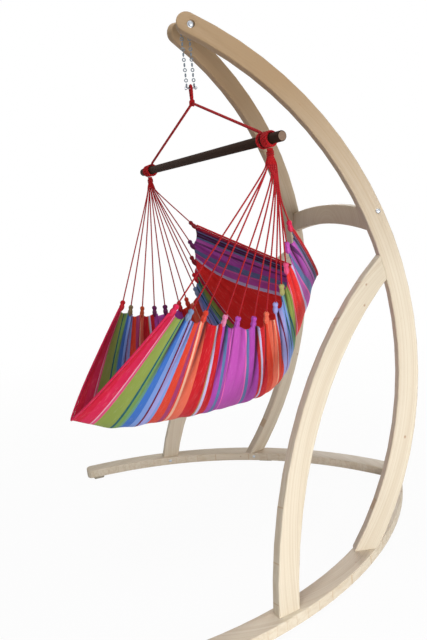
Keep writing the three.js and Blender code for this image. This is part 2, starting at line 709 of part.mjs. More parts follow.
// Hanging parts are measured from the hanging point, in the middle of the sleeve
const flatLinkZ = SLEEVE_DIAMETER / 2 + FIT_GAP + LINK_WIRE / 2;
const linkInner = LINK_PITCH - LINK_BITE;
const firstLinkZ = flatLinkZ + LINK_WIRE / 2 + FIT_GAP - linkInner / 2;
const lastLinkZ = firstLinkZ - (LINKS_PER_STRAND - 1) * LINK_PITCH;
const pinZ = lastLinkZ - linkInner / 2 + FIT_GAP + PIN_DIAMETER / 2;

function topLink() {
  const inner = STRAND_SPACING - LINK_WIRE;
  return solid(linkGeometry(vec(0, 0, flatLinkZ), Y_AXIS, X_AXIS, inner));
}

function strand(side) {
  const links = Array.from({ length: LINKS_PER_STRAND }, (_, i) => {
    const centre = vec(0, side * STRAND_SPACING / 2, firstLinkZ - i * LINK_PITCH);
    return solid(linkGeometry(centre, UP, i % 2 ? X_AXIS : Y_AXIS, linkInner));
  });
  return joined(links);
}

const pinSeatY = STRAND_SPACING / 2 + LINK_WIRE / 2 + FIT_GAP;

function pin() {
  const total = 2 * pinSeatY + 2 * PIN_HEAD.height + PIN_END;
  return screw(PIN_HEAD, PIN_DIAMETER, total, vec(0, -pinSeatY - PIN_HEAD.height, pinZ), Y_AXIS);
}

function pinNut() {
  const bore = PIN_DIAMETER + 2 * FIT_GAP;
  return ring(PIN_HEAD.diameter, bore, PIN_HEAD.height, vec(0, pinSeatY, pinZ), Y_AXIS);
}

// Rope loop over the pin, with its knot. Local frame: origin at the pin.
const loopRadius = (PIN_DIAMETER / 2 + FIT_GAP + ROPE_DIAMETER / 2) / Math.cos(Math.PI / LOOP_BEND_SIDES);

function knotBody(centre, grow) {
  const [radius, half] = [KNOT.width / 2 + grow, KNOT.height / 2 + grow];
  const profile = Array.from({ length: KNOT_RINGS + 1 }, (_, i) => {
    const angle = Math.PI * (i / KNOT_RINGS - 0.5);
    const onAxis = i === 0 || i === KNOT_RINGS;
    return [onAxis ? 0 : radius * Math.cos(angle), half * Math.sin(angle)];
  });
  return solid(turned(profile, centre, UP, KNOT_SIDES));
}

function ropeLoop() {
  const straight = KNOT.drop - KNOT.height / 4;
  const leg = (side) => [vec(side * LOOP_LEGS.halfAtKnot, 0, -straight),
    vec(side * (loopRadius - LOOP_LEGS.drawnIn), 0, -straight / 2)];
  const over = Array.from({ length: LOOP_ARC_POINTS + 1 }, (_, i) => {
    const angle = Math.PI * i / LOOP_ARC_POINTS;
    return vec(loopRadius * Math.cos(angle), 0, loopRadius * Math.sin(angle));
  });
  const curve = new THREE.CatmullRomCurve3([...leg(1), ...over, ...leg(-1).reverse()]);
  return solid(tube(curve, ROPE_DIAMETER, LOOP_STEPS, ROPE_SIDES)).add(knotBody(vec(0, 0, -KNOT.drop), 0));
}

// Radius of a cord's turns round the bar, clear of it between the facets too
function turnRadius(diameter) {
  return (BAR_DIAMETER / 2 + FIT_GAP + diameter / 2) / Math.cos(Math.PI / WIND_STEPS_PER_TURN);
}

// Rope arm from the knot to a turn round the bar. Local frame: origin at the knot.
function ropeArm(side) {
  const radius = turnRadius(ROPE_DIAMETER);
  const turnPoints = [];
  for (let i = 0; i <= ROPE_TURN_POINTS; i += 1) {
    const angle = FULL_TURN * i / ROPE_TURN_POINTS;
    const x = ROPE_TURN_AT + (ROPE_DIAMETER + WIND_GAP) * i / ROPE_TURN_POINTS;
    turnPoints.push(vec(side * x, -side * radius * Math.sin(angle), radius * Math.cos(angle) - BAR_DROP));
  }
  const top = turnPoints[0];
  const landing = vec(top.x - side * ROPE_LEAD.back, side * ROPE_LEAD.aside, top.z + ROPE_LEAD.rise);
  const way = landing.clone().normalize();
  const arm = new THREE.LineCurve3(way.clone().multiplyScalar(ROPE_DIAMETER), landing);
  const lead = landing.clone().addScaledVector(way, -JOIN);
  const turn = new THREE.CatmullRomCurve3([lead, ...turnPoints]);
  const facetHeight = KNOT.width / 2 * (1 - Math.cos(Math.PI / KNOT_SIDES));
  const knot = knotBody(vec(0, 0, 0), FIT_GAP + facetHeight);
  return solid(tube(arm, ROPE_DIAMETER, 1, ROPE_SIDES))
    .add(solid(tube(turn, ROPE_DIAMETER, ROPE_TURN_STEPS, ROPE_SIDES))).subtract(knot);
}

// Spreader bar with rounded ends. Local frame: origin at the middle of the bar.
function spreaderBar() {
  const [r, half, e] = [BAR_DIAMETER / 2, BAR_LENGTH / 2, EDGE_CHAMFER];
  return turned([[0, -half], [r - e, -half], [r, e - half], [r, half - e], [r - e, half], [0, half]],
    vec(0, 0, 0), X_AXIS, 2 * ROUND_SIDES);
}

// Winding: one unbroken cord in WIND_TURNS turns round the bar
class Helix extends THREE.Curve {
  constructor(radius, pitch, turns, startX, side) {
    super();
    Object.assign(this, { radius, pitch, turns, startX, side });
  }

  getPoint(t) {
    const angle = FULL_TURN * this.turns * t - QUARTER_TURN;
    const x = this.side * (this.startX + this.pitch * this.turns * t);
    return vec(x, this.radius * Math.cos(angle), this.radius * Math.sin(angle));
  }
}

const windPitch = WIND_DIAMETER + WIND_GAP;
const windRadius = turnRadius(WIND_DIAMETER);
const windStart = WIND_AT - windPitch * WIND_TURNS / 2;

function winding(side) {
  const curve = new Helix(windRadius, windPitch, WIND_TURNS, windStart, side);
  reportWindingGap(curve);
  return tube(curve, WIND_DIAMETER, WIND_TURNS * WIND_STEPS_PER_TURN, WIND_SIDES);
}

// Least distance between points at least half a turn apart, less the cord's diameter
function reportWindingGap(curve) {
  const points = curve.getPoints(WIND_TURNS * 4 * WIND_STEPS_PER_TURN);
  const apart = 2 * WIND_STEPS_PER_TURN;
  let least = Infinity;
  for (let i = 0; i < points.length; i += 1) {
    for (let j = i + apart; j < points.length; j += 1) {
      least = Math.min(least, points[i].distanceTo(points[j]));
    }
  }
  console.log(`winding: least gap to itself ${(least - WIND_DIAMETER).toFixed(2)} mm`);
}

// Bundle: the cords bound together, hanging under the winding
const bundleTop = -windRadius - WIND_DIAMETER / 2 - FIT_GAP;
const bundleBottom = bundleTop - BUNDLE.length;

function bundle(side) {
  const { length, taperFrom, taperTo } = BUNDLE;
  const [wide, narrow] = [BUNDLE.top / 2, BUNDLE.bottom / 2];
  const profile = [[0, 0], [narrow, 0], [narrow, taperFrom], [wide, taperTo], [wide, length], [0, length]];
  return turned(profile, vec(side * WIND_AT, 0, bundleBottom), UP, ROUND_SIDES);
}

// Cloth surface: k runs over the knot rows from the front, v from the left knots to the right
const lastRow = KNOT_ROWS.length - 1;
const seatScale = vec(
  SEAT_HALF_WIDTH / Math.max(...KNOT_ROWS.map((row) => row.half)),
  SEAT_LENGTH / (KNOT_ROWS[lastRow].low[0] - KNOT_ROWS[0].low[0]),
  SEAT_DROP / -Math.min(...KNOT_ROWS.map((row) => row.low[1])),
);
const rowCurve = (name, sign) => new THREE.CatmullRomCurve3(
  KNOT_ROWS.map((row) => vec(sign * row.half, ...row[name]).multiply(seatScale)));
const rightEdge = rowCurve('right', 1);
const leftEdge = rowCurve('left', -1);
const lowLine = rowCurve('low', 0);

function clothSmooth(k, v) {
  const t = THREE.MathUtils.clamp(k / lastRow, 0, 1);
  const edge = (v < 0 ? leftEdge : rightEdge).getPoint(t);
  const low = lowLine.getPoint(t);
  const a = Math.abs(v);
  const front = Math.max(0, 1 - k / FRONT_DRAW.rows);
  const back = Math.max(0, 1 - (lastRow - k) / BACK_DRAW.rows);
  const drawn = (loose, name) => (
    loose + front * (FRONT_DRAW[name] - loose) + back * (BACK_DRAW[name] - loose));
  const lift = a ** drawn(SAG_POWER, 'sagPower');
  const bulge = drawn(SIDE_BULGE, 'bulge');
  const spread = a + bulge * a * (1 - a * a);
  return low.lerp(edge, lift).setX(edge.x * spread);
}

function clothNormal(k, v) {
  const step = NORMAL_STEP;
  const dk = clothSmooth(Math.min(k + step, lastRow), v).sub(clothSmooth(Math.max(k - step, 0), v));
  const dv = clothSmooth(k, Math.min(v + step, 1)).sub(clothSmooth(k, Math.max(v - step, -1)));
  return dk.cross(dv).normalize();
}

// Between two knots the edge hangs back in a scallop, and the cloth bellies out in a fold
function clothPoint(k, v) {
  const a = Math.abs(v);
  const between = Math.sin(Math.PI * k) ** 2;
  const scallop = SCALLOP_DEPTH * between * a ** SCALLOP_FADE;
  const point = clothSmooth(k, v);
  const inward = clothSmooth(k, v * EDGE_PROBE).sub(point);
  if (inward.lengthSq() > 0) point.addScaledVector(inward.normalize(), scallop);
  return point.addScaledVector(clothNormal(k, v), FOLD_DEPTH * between * a ** FOLD_FADE);
}

function clothSheet() {
  const rows = lastRow * CLOTH_STEPS_PER_KNOT;
  const position = [];
  for (const face of [0.5, -0.5]) {
    for (let i = 0; i <= rows; i += 1) {
      for (let j = 0; j <= CLOTH_ACROSS; j += 1) {
        const k = i / CLOTH_STEPS_PER_KNOT;
        const v = 2 * j / CLOTH_ACROSS - 1;
        const point = clothPoint(k, v).addScaledVector(clothNormal(k, v), face * CLOTH_THICKNESS);
        position.push(...point.toArray());
      }
    }
  }
  return sheetGeometry(position, rows, CLOTH_ACROSS);
}

// Two layers of a grid joined along their rim
function sheetGeometry(position, rows, columns) {
  const layer = (rows + 1) * (columns + 1);
  const at = (i, j, face) => face * layer + i * (columns + 1) + j;
  const index = [];
  const quad = (a, b, c, d) => index.push(a, b, c, a, c, d);
  for (let i = 0; i < rows; i += 1) {
    for (let j = 0; j < columns; j += 1) {
      quad(at(i, j, 0), at(i + 1, j, 0), at(i + 1, j + 1, 0), at(i, j + 1, 0));
      quad(at(i, j, 1), at(i, j + 1, 1), at(i + 1, j + 1, 1), at(i + 1, j, 1));
    }
  }
  for (let i = 0; i < rows; i += 1) {
    quad(at(i, 0, 0), at(i, 0, 1), at(i + 1, 0, 1), at(i + 1, 0, 0));
    quad(at(i, columns, 0), at(i + 1, columns, 0), at(i + 1, columns, 1), at(i, columns, 1));
  }
  for (let j = 0; j < columns; j += 1) {
    quad(at(0, j, 0), at(0, j + 1, 0), at(0, j + 1, 1), at(0, j, 1));
    quad(at(rows, j, 0), at(rows, j, 1), at(rows, j + 1, 1), at(rows, j + 1, 0));
  }
  const geometry = new THREE.BufferGeometry();
  geometry.setAttribute('position', new THREE.Float32BufferAttribute(position, 3));
  geometry.setIndex(index);
  return geometry;
}

// Rolled hem along the front or back edge of the cloth
function hem(k, inwardK) {
  const points = [];
  for (let j = 0; j <= CLOTH_ACROSS * 2; j += 1) {
    const v = (j / CLOTH_ACROSS - 1) * HEM_REACH;
    const edge = clothPoint(k, v);
    const away = edge.clone().sub(clothSmooth(inwardK, v)).normalize();
    points.push(edge.addScaledVector(away, HEM_DIAMETER / 2 + 2 * FIT_GAP));
  }
  return tube(new THREE.CatmullRomCurve3(points), HEM_DIAMETER, HEM_STEPS, WIND_SIDES);
}

// Each cord leaves the bundle with two legs, tied to two neighbouring rows of the cloth
const cordsPerSide = KNOT_ROWS.length / 2;

function cordStart(row, side) {
  const pair = Math.floor(row / 2);
  const x = WIND_AT + CORD_ROWS_APART * (pair % 2 - 0.5);
  const y = CORD_STARTS_APART * (pair - (cordsPerSide - 1) / 2);
  return vec(side * x, y, bundleBottom - FIT_GAP - (row % 2) * JOIN);
}

function cordWay(row, side) {
  const edge = (side > 0 ? rightEdge : leftEdge).getPoint(row / lastRow);
  const away = cordStart(row, side).sub(edge).normalize();
  return { edge, away };
}

function cordKnot(row, side) {
  const { edge, away } = cordWay(row, side);
  const [end, wide, length] = [CORD_KNOT.end / 2, CORD_KNOT.width / 2, CORD_KNOT.length];
  const profile = [[0, 0], [end, 0], [wide, length / 2], [end, length], [0, length]];
  const start = edge.clone().addScaledVector(away, CLOTH_THICKNESS / 2 + 2 * FIT_GAP);
  return turned(profile, start, away, HEX_SIDES);
}

function cordLeg(row, side) {
  const { edge, away } = cordWay(row, side);
  const end = edge.clone().addScaledVector(away, CLOTH_THICKNESS / 2 + CORD_KNOT.length / 2);
  const start = cordStart(row, side);
  const below = start.clone().add(vec(0, 0, -2 * CORD_DIAMETER));
  const curve = new THREE.CatmullRomCurve3([start, below, end], false, 'centripetal');
  return tube(curve, CORD_DIAMETER, 2, ROPE_SIDES);
}

function cord(pair, side) {
  const rows = [2 * pair, 2 * pair + 1];
  return joined(rows.flatMap((row) => [solid(cordLeg(row, side)), solid(cordKnot(row, side))]));
}

// The scene
const part = new THREE.Group();

function addNode(parent, name, body, finish) {
  const geometry = body instanceof THREE.BufferGeometry ? geometryOf(solid(body)) : geometryOf(body);
  const mesh = new THREE.Mesh(geometry, new THREE.MeshStandardMaterial(finish));
  mesh.name = name;
  parent.add(mesh);
}

function addPair(name, body, finish) {
  const geometry = body instanceof THREE.BufferGeometry ? body : geometryOf(body);
  addNode(part, `${name}_right`, geometry, finish);
  addNode(part, `${name}_left`, mirrored(geometry), finish);
}

addPair('runner', runner(), SPRUCE);
addPair('arch', arch(), SPRUCE);
addPair('strut', strut(), SPRUCE);
addNode(part, 'crossbar', crossbar(), SPRUCE);
for (const [name, size] of [['foot_pad_front', PAD_FRONT], ['foot_pad_side', PAD_SIDE]]) {
  addPair(name, pad(size, onRunner(size.atAngle, 0), QUARTER_TURN + size.atAngle * DEGREE), RUBBER);
}
addNode(part, 'foot_pad_rear', pad(PAD_REAR, vec(0, spliceY, 0), 0), RUBBER);
addNode(part, 'rear_tongue', tongue(), SPRUCE);
addPair('splice_screw', spliceScrew(SPLICE_SCREW.atX), STEEL);
addPair('arch_foot_screw', footScrew(archFoot), STEEL);
addPair('strut_foot_screw', footScrew(strutFoot), STEEL);
addPair('strut_head_screw',
  screw(SCREW_HEAD, SCREW_SHANK, STRUT_SCREW_LENGTH, strutScrewStart, strutScrewWay), STEEL);
addPair('crossbar_screw', crossbarScrew(), STEEL);
addNode(part, 'apex_bolt', apexBolt(), STEEL);
addNode(part, 'apex_nut', apexNut(), STEEL);
addPair('apex_washer', apexWasher(), STEEL);
addNode(part, 'apex_sleeve', apexSleeve(), STEEL);

const chainGroup = new THREE.Group();
chainGroup.position.set(0, APEX_Y, APEX_HEIGHT);
part.add(chainGroup);
addNode(chainGroup, 'chain_top_link', topLink(), STEEL);
addNode(chainGroup, 'chain_front', strand(-1), STEEL);
addNode(chainGroup, 'chain_rear', strand(1), STEEL);
addNode(chainGroup, 'chain_pin', pin(), STEEL);
addNode(chainGroup, 'chain_pin_nut', pinNut(), STEEL);

const ropeGroup = new THREE.Group();
ropeGroup.position.set(0, 0, pinZ);
chainGroup.add(ropeGroup);
addNode(ropeGroup, 'hanging_rope', ropeLoop(), ROPE_RED);

const armGroup = new THREE.Group();
armGroup.position.set(0, 0, -KNOT.drop);
armGroup.rotation.z = BAR_YAW * DEGREE;
ropeGroup.add(armGroup);
addNode(armGroup, 'rope_arm_right', ropeArm(1), ROPE_RED);
addNode(armGroup, 'rope_arm_left', ropeArm(-1), ROPE_RED);

const seatGroup = new THREE.Group();
seatGroup.position.set(0, 0, -BAR_DROP);
armGroup.add(seatGroup);
addNode(seatGroup, 'spreader_bar', spreaderBar(), BAR_WOOD);
for (const [side, sideName] of [[1, 'right'], [-1, 'left']]) {
  addNode(seatGroup, `cord_winding_${sideName}`, winding(side), ROPE_RED);
  addNode(seatGroup, `cord_bundle_${sideName}`, bundle(side), ROPE_RED);
  for (let pair = 0; pair < cordsPerSide; pair += 1) {
    addNode(seatGroup, `cord_${sideName}_${pair + 1}`, cord(pair, side), CORD_MIX);
  }
}
addNode(seatGroup, 'seat_cloth', clothSheet(), CLOTH_MIX);
addNode(seatGroup, 'front_hem', hem(0, 1), ROPE_RED);
addNode(seatGroup, 'back_hem', hem(lastRow, lastRow - 1), ROPE_RED);

// The origin goes to the floor under the middle of the outer box
part.updateMatrixWorld(true);
const outerBox = new THREE.Box3().setFromObject(part, true);
const middle = outerBox.getCenter(vec(0, 0, 0));
part.position.set(-middle.x, -middle.y, -outerBox.min.z);
part.updateMatrixWorld(true);

export default part;
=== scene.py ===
import json
import math

import bpy
from mathutils import Matrix, Vector


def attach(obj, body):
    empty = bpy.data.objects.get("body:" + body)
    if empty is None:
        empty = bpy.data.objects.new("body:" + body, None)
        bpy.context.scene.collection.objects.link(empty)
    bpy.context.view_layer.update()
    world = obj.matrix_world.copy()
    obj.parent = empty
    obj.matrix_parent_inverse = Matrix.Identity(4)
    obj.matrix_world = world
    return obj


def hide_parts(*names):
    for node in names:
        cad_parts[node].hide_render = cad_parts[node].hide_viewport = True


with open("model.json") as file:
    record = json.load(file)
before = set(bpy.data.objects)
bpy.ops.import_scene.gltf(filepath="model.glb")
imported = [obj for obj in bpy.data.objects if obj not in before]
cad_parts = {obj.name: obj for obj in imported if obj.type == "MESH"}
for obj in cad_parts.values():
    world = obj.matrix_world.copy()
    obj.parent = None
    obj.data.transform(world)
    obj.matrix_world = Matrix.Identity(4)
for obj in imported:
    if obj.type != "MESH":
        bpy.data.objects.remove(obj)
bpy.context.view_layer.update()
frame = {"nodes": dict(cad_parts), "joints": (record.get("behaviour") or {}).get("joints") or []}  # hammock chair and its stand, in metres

mm = 0.001
up = Vector((0, 0, 1))
bothSides = ((1, "right"), (-1, "left"))


# objects: selecting, placing, joining

def intoScene(obj):
    bpy.context.scene.collection.objects.link(obj)


def setMode(mode):
    bpy.ops.object.mode_set(mode=mode)


def pickNone():
    bpy.ops.object.select_all(action="DESELECT")


def pickOnly(obj):
    pickNone()
    obj.select_set(True)
    bpy.context.view_layer.objects.active = obj


def applyAll(obj):
    pickOnly(obj)
    for modifier in list(obj.modifiers):
        bpy.ops.object.modifier_apply(modifier=modifier.name)


def keepPlaceInMesh(obj, matrix=Matrix.Identity(4)):
    # the place goes into the mesh, so the object is back at the origin
    obj.data.transform(matrix @ obj.matrix_basis)
    obj.matrix_basis = Matrix.Identity(4)


def turned(angle, axis):
    return Matrix.Rotation(angle, 4, axis)


def joinAll(objects, name):
    pickNone()
    for obj in objects:
        obj.select_set(True)
    bpy.context.view_layer.objects.active = objects[0]
    if len(objects) > 1:
        bpy.ops.object.join()
    objects[0].name = name
    objects[0].data.name = name
    return objects[0]


def finishPiece(obj, material, body, nodes=(), smooth=35):
    obj.data.materials.clear()
    obj.data.materials.append(material)
    pickOnly(obj)
    bpy.ops.object.shade_smooth_by_angle(angle=math.radians(smooth))
    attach(obj, body)
    if nodes:
        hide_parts(*nodes)
    return obj


def meshPiece(name, points, faces):
    mesh = bpy.data.meshes.new(name)
    mesh.from_pydata(points, [], faces)
    obj = bpy.data.objects.new(name, mesh)
    intoScene(obj)
    return obj


def setVectors(obj, name, values):
    attribute = obj.data.attributes.new(name, "FLOAT_VECTOR", "POINT")
    attribute.data.foreach_set("vector", [x for value in values for x in value])


def srgb(red, green, blue):
    # from a screen's colour, 0 to 255, to Blender's linear one
    def linear(x):
        x = x / 255
        return x / 12.92 if x <= 0.04045 else ((x + 0.055) / 1.055) ** 2.4
    return (linear(red), linear(green), linear(blue), 1)


# shader maths

def operator(operation):
    return lambda value, other: value.maths(operation, other)


class Value:
    __add__ = __radd__ = operator("ADD")
    __mul__ = __rmul__ = operator("MULTIPLY")
    __sub__ = operator("SUBTRACT")
    __truediv__ = operator("DIVIDE")
    __pow__ = operator("POWER")
    __gt__ = operator("GREATER_THAN")
    __lt__ = operator("LESS_THAN")

    def __init__(self, look, socket):
        self.look = look
        self.socket = socket

    def maths(self, operation, *others):
        return self.look.node("ShaderNodeMath", {"operation": operation},
                              dict(enumerate((self, *others))))[0]

    def __rsub__(self, other):
        return self.look.node("ShaderNodeMath", {"operation": "SUBTRACT"}, {0: other, 1: self})[0]

    def clamped(self):
        return self.maths("MAXIMUM", 0.0).maths("MINIMUM", 1.0)


class Look:
    def __init__(self, name):
        self.material = bpy.data.materials.new(name)
        self.material.use_nodes = True
        self.tree = self.material.node_tree
        self.tree.nodes.clear()
        self.shader = self.tree.nodes.new("ShaderNodeBsdfPrincipled")
        self.output = self.tree.nodes.new("ShaderNodeOutputMaterial")
        self.tree.links.new(self.shader.outputs[0], self.output.inputs[0])

    def fill(self, socket, value):
        if isinstance(value, Value):
            self.tree.links.new(value.socket, socket)
        else:
            socket.default_value = value

    def node(self, kind, settings=None, inputs=None):
        node = self.tree.nodes.new(kind)
        for key, value in (settings or {}).items():
            if key == "stops":
                ramp = node.color_ramp
                while len(ramp.elements) < len(value):
                    ramp.elements.new(1)
                for element, (position, colour) in zip(ramp.elements, value):
                    element.position = position
                    element.color = colour
            elif key == "stepped":
                node.color_ramp.interpolation = "CONSTANT"
            else:
                setattr(node, key, value)
        for key, value in (inputs or {}).items():
            self.fill(node.inputs[key], value)
        return [Value(self, output) for output in node.outputs]

    def mix(self, a, b, factor):
        return self.node("ShaderNodeMix", {"data_type": "RGBA"}, {0: factor, 6: a, 7: b})[2]

    def attribute(self, name):
        return self.node("ShaderNodeAttribute", {"attribute_name": name})[1]

    def objectPlace(self):
        return self.node("ShaderNodeTexCoord")[3]

    def parts(self, vector):
        return self.node("ShaderNodeSeparateXYZ", None, {0: vector})

    def vector(self, x, y, z):
        return self.node("ShaderNodeCombineXYZ", None, {0: x, 1: y, 2: z})[0]

    def stretched(self, vector, sizes):
        return self.node("ShaderNodeVectorMath", {"operation": "MULTIPLY"},
                         {0: vector, 1: sizes})[0]

    def noise(self, vector, detail, scale=1.0):
        return self.node("ShaderNodeTexNoise", None, {"Vector": vector, "Scale": scale,
                                                      "Detail": detail, "Roughness": 0.5})[0]

    def bump(self, height, distance, strength=1.0):
        return self.node("ShaderNodeBump", None,
                         {"Strength": strength, "Distance": distance, "Height": height})[0]

    def set(self, **sockets):
        names = {"colour": "Base Color", "roughness": "Roughness", "metal": "Metallic",
                 "normal": "Normal", "sheen": "Sheen Weight", "sheenRoughness": "Sheen Roughness",
                 "shine": "Specular IOR Level"}
        for key, value in sockets.items():
            self.fill(self.shader.inputs[names[key]], value)
        return self.material


# the photograph's camera

photoCamera = {
    "place": (2.411, -0.8884, 1.3632),
    "headingDegrees": 17.83,  # from -X towards +Y
    "downDegrees": 10.41,
    "rollDegrees": -5.95,
    "pictureHeight": 640,
    "focalPixels": 617.0,
    "sensor": 36.0,
}


def addCamera(place, headingDegrees, downDegrees, rollDegrees, pictureHeight, focalPixels, sensor):
    data = bpy.data.cameras.new("photoCamera")
    data.sensor_width = sensor
    data.lens = focalPixels / pictureHeight * sensor
    camera = bpy.data.objects.new("photoCamera", data)
    camera.matrix_world = (Matrix.Translation(place)
                           @ turned(math.radians(90 - headingDegrees), "Z")
                           @ turned(math.radians(90 - downDegrees), "X")
                           @ turned(math.radians(rollDegrees), "Z"))
    intoScene(camera)
    bpy.context.scene.camera = camera


addCamera(**photoCamera)
print("camera placed")


# where the hanging parts are

joints = {joint["name"]: joint for joint in frame["joints"]}
hangPoint = Vector(joints["swing_front_back"]["pos_m"])
pinPoint = Vector(joints["swing_sideways"]["pos_m"])
knotPoint = Vector(joints["bar_twist"]["pos_m"])
barPoint = Vector(joints["seat_rock"]["pos_m"])
barWay = Vector(joints["seat_rock"]["axis"])
barTurn = math.atan2(barWay.y, barWay.x)
seatPlace = Matrix.Translation(barPoint) @ turned(barTurn, "Z")
armPlace = Matrix.Translation(knotPoint) @ turned(barTurn, "Z")


def smoothCurve(points, steps):
    # a rounded path through the given points
    knots = [Vector(p) for p in points]
    knots = [2 * knots[0] - knots[1], *knots, 2 * knots[-1] - knots[-2]]
    path = []
    for i in range(1, len(knots) - 2):
        for j in range(steps):
            path.append(rounded(knots[i - 1:i + 3], j / steps))
    return [*path, knots[-2]]


def rounded(four, t):
    # one stretch of a centripetal spline, between the two middle points
    times = [0.0]
    for a, b in zip(four, four[1:]):
        times.append(times[-1] + max((b - a).length, 1e-9) ** 0.5)
    now = times[1] + (times[2] - times[1]) * t

    def blendOf(a, b, first, last):
        return ((last - now) * a + (now - first) * b) / (last - first)
    lines = [blendOf(four[i], four[i + 1], times[i], times[i + 1]) for i in range(3)]
    arcs = [blendOf(lines[i], lines[i + 1], times[i], times[i + 2]) for i in range(2)]
    return blendOf(arcs[0], arcs[1], times[1], times[2])


def evenly(path, spacing):
    # the same path with its points evenly spaced, and its length
    lengths = [0.0]
    for a, b in zip(path, path[1:]):
        lengths.append(lengths[-1] + (b - a).length)
    count = max(2, round(lengths[-1] / spacing))
    even, i = [], 0
    for step in range(count + 1):
        at = lengths[-1] * step / count
        while i < len(path) - 2 and lengths[i + 1] < at:
            i += 1
        span = max(lengths[i + 1] - lengths[i], 1e-9)
        even.append(path[i].lerp(path[i + 1], min(1.0, (at - lengths[i]) / span)))
    return even, lengths[-1]


def tubeFaces(rings, sides):
    faces = []
    for i in range(rings - 1):
        for j in range(sides):
            k = (j + 1) % sides
            faces.append((i * sides + j, i * sides + k, (i + 1) * sides + k, (i + 1) * sides + j))
    return faces


def ropeTube(name, path, diameter, shape, strands=3, pitch=3.0, depth=0.12):
    # a laid rope: the section's bumps, one for each strand, turn as they go along
    diameter, sides = diameter * mm, shape["sides"]
    path, length = evenly(path, shape["spacing"])
    count = len(path)
    ways = [(path[min(i + 1, count - 1)] - path[max(i - 1, 0)]).normalized()
            for i in range(count)]
    across = ways[0].orthogonal().normalized()
    points, laid = [], []
    for i, (point, way) in enumerate(zip(path, ways)):
        across = (across - across.dot(way) * way).normalized()
        beside = way.cross(across)
        along = length * i / (count - 1)
        turn = math.tau * along / (pitch * diameter)
        for j in range(sides):
            angle = math.tau * j / sides
            bump = abs(math.sin(strands * (angle - turn) / 2))
            radius = diameter / 2 * (1 - depth + depth * bump)
            points.append(point + radius * (math.cos(angle) * across + math.sin(angle) * beside))
            laid.append((along / diameter, angle / math.tau, strands * (angle - turn) / math.tau))
    first = len(points)
    points += [path[0], path[-1]]
    laid += [(0, 0, 0), (length / diameter, 0, 0)]
    faces = tubeFaces(count, sides)
    last = (count - 1) * sides
    for j in range(sides):
        k = (j + 1) % sides
        faces.append((first, k, j))
        faces.append((first + 1, last + j, last + k))
    obj = meshPiece(name, points, faces)
    setVectors(obj, "laid", laid)
    return obj, path, length


def finishCord(made, material, body, node):
    obj, path, length = made
    finishPiece(obj, material, body, [node], 80)


# rope and cord finishes

ropeFinish = {
    "bright": srgb(196, 22, 28),
    # deep and cordDeep: the colours in the grooves between strands, painted shade there
    "deep": srgb(92, 4, 12),
    "cordBright": srgb(192, 30, 38),
    "cordDeep": srgb(92, 12, 24),
    "roughness": 0.82,
    "relief": 0.0012,
}
softShine = {"sheen": 0.08, "sheenRoughness": 0.5, "shine": 0.15}  # of rope and cloth alike


def ropeMaterial(name, bright, deep, fibres):
    look = Look(name)
    laid = look.attribute("laid")
    strand = look.parts(laid)[2]
    groove = (strand * math.pi).maths("SINE").maths("ABSOLUTE")
    fibre = look.noise(look.stretched(laid, (fibres, 9, 14)), 3)
    worn = look.noise(look.objectPlace(), 2, 22.0)
    # painted shade: the colour goes deep in the grooves between strands, with fibre and wear
    # varying it at random
    shade = groove * 0.6 + fibre * 0.3 + worn * 0.25
    colour = look.mix(deep, bright, shade.maths("MINIMUM", 1.0))
    height = groove * 0.7 + fibre * 0.3
    return look.set(colour=colour, roughness=ropeFinish["roughness"] - groove * 0.08,
                    normal=look.bump(height, ropeFinish["relief"]), **softShine)


redRope = ropeMaterial("redRope", ropeFinish["bright"], ropeFinish["deep"], 4.0)
redCord = ropeMaterial("redCord", ropeFinish["cordBright"], ropeFinish["cordDeep"], 2.0)


# cloth shape, in millimetres from the middle of the spreader bar

seatShape = {
    "thickness": 2.0,
    "sagPower": 2.3,
    "sideBulge": 0.31,
    "frontDraw": {"sagPower": 1.2, "sideBulge": 0.05, "rows": 3.5},
    "backDraw": {"sagPower": 1.15, "sideBulge": 0.0, "rows": 3.0},
    "foldDepth": 15,
    "foldFade": 2.2,
    "scallopDepth": 24,
    "scallopFade": 11,
    "pleatDepth": 18,
    "pleatFade": 3.2,
    "stepsPerKnot": 26,
    "acrossSteps": 116,
    "rowPitch": 0.12,  # metres of cloth from one row of knots to the next
    "creaseDepth": 2.2,
    # folds beside each knot: place and half width in rows, and share of the depth
    "folds": [(0.19, 0.075, 1.0), (-0.2, 0.065, 0.8), (0.46, 0.05, 0.5)],
    "foldLean": 0.12,
}
hemShape = {"diameter": 9, "reach": 0.97, "steps": 80, "spacing": 0.004, "sides": 14}

# rows of knots from the front to the back: half the width, then y and z right, left and lowest
knotRows = [
    (290, (-300, -535), (-295, -575), (-645, -935)),
    (305, (-250, -560), (-255, -605), (-490, -1005)),
    (310, (-195, -575), (-200, -620), (-345, -1020)),
    (325, (-125, -600), (-135, -630), (-230, -1020)),
    (330, (-75, -615), (-80, -635), (-120, -1020)),
    (335, (-10, -625), (-5, -630), (-20, -1020)),
    (345, (40, -615), (40, -620), (80, -1015)),
    (350, (80, -585), (95, -580), (155, -1000)),
    (365, (105, -520), (105, -515), (220, -950)),
    (390, (115, -440), (115, -435), (287, -860)),
    (400, (120, -365), (120, -360), (425, -710)),
    (405, (135, -290), (140, -270), (535, -550)),
]
lastRow = len(knotRows) - 1
lineSteps = 20


def rowLine(column, sign):
    points = [Vector((sign * row[0], *row[column])) for row in knotRows]
    return smoothCurve(points, lineSteps)


rightLine = rowLine(1, 1)
leftLine = rowLine(2, -1)
lowLine = rowLine(3, 0)


def onLine(line, row):
    at = max(0.0, min(row, lastRow)) * lineSteps
    i = min(int(at), len(line) - 2)
    return line[i].lerp(line[i + 1], at - i)


def drawnIn(name, row):
    # towards both hems the cloth is drawn into a V
    loose = seatShape[name]
    for end, away in ((seatShape["frontDraw"], row), (seatShape["backDraw"], lastRow - row)):
        loose += max(0, 1 - away / end["rows"]) * (end[name] - seatShape[name])
    return loose


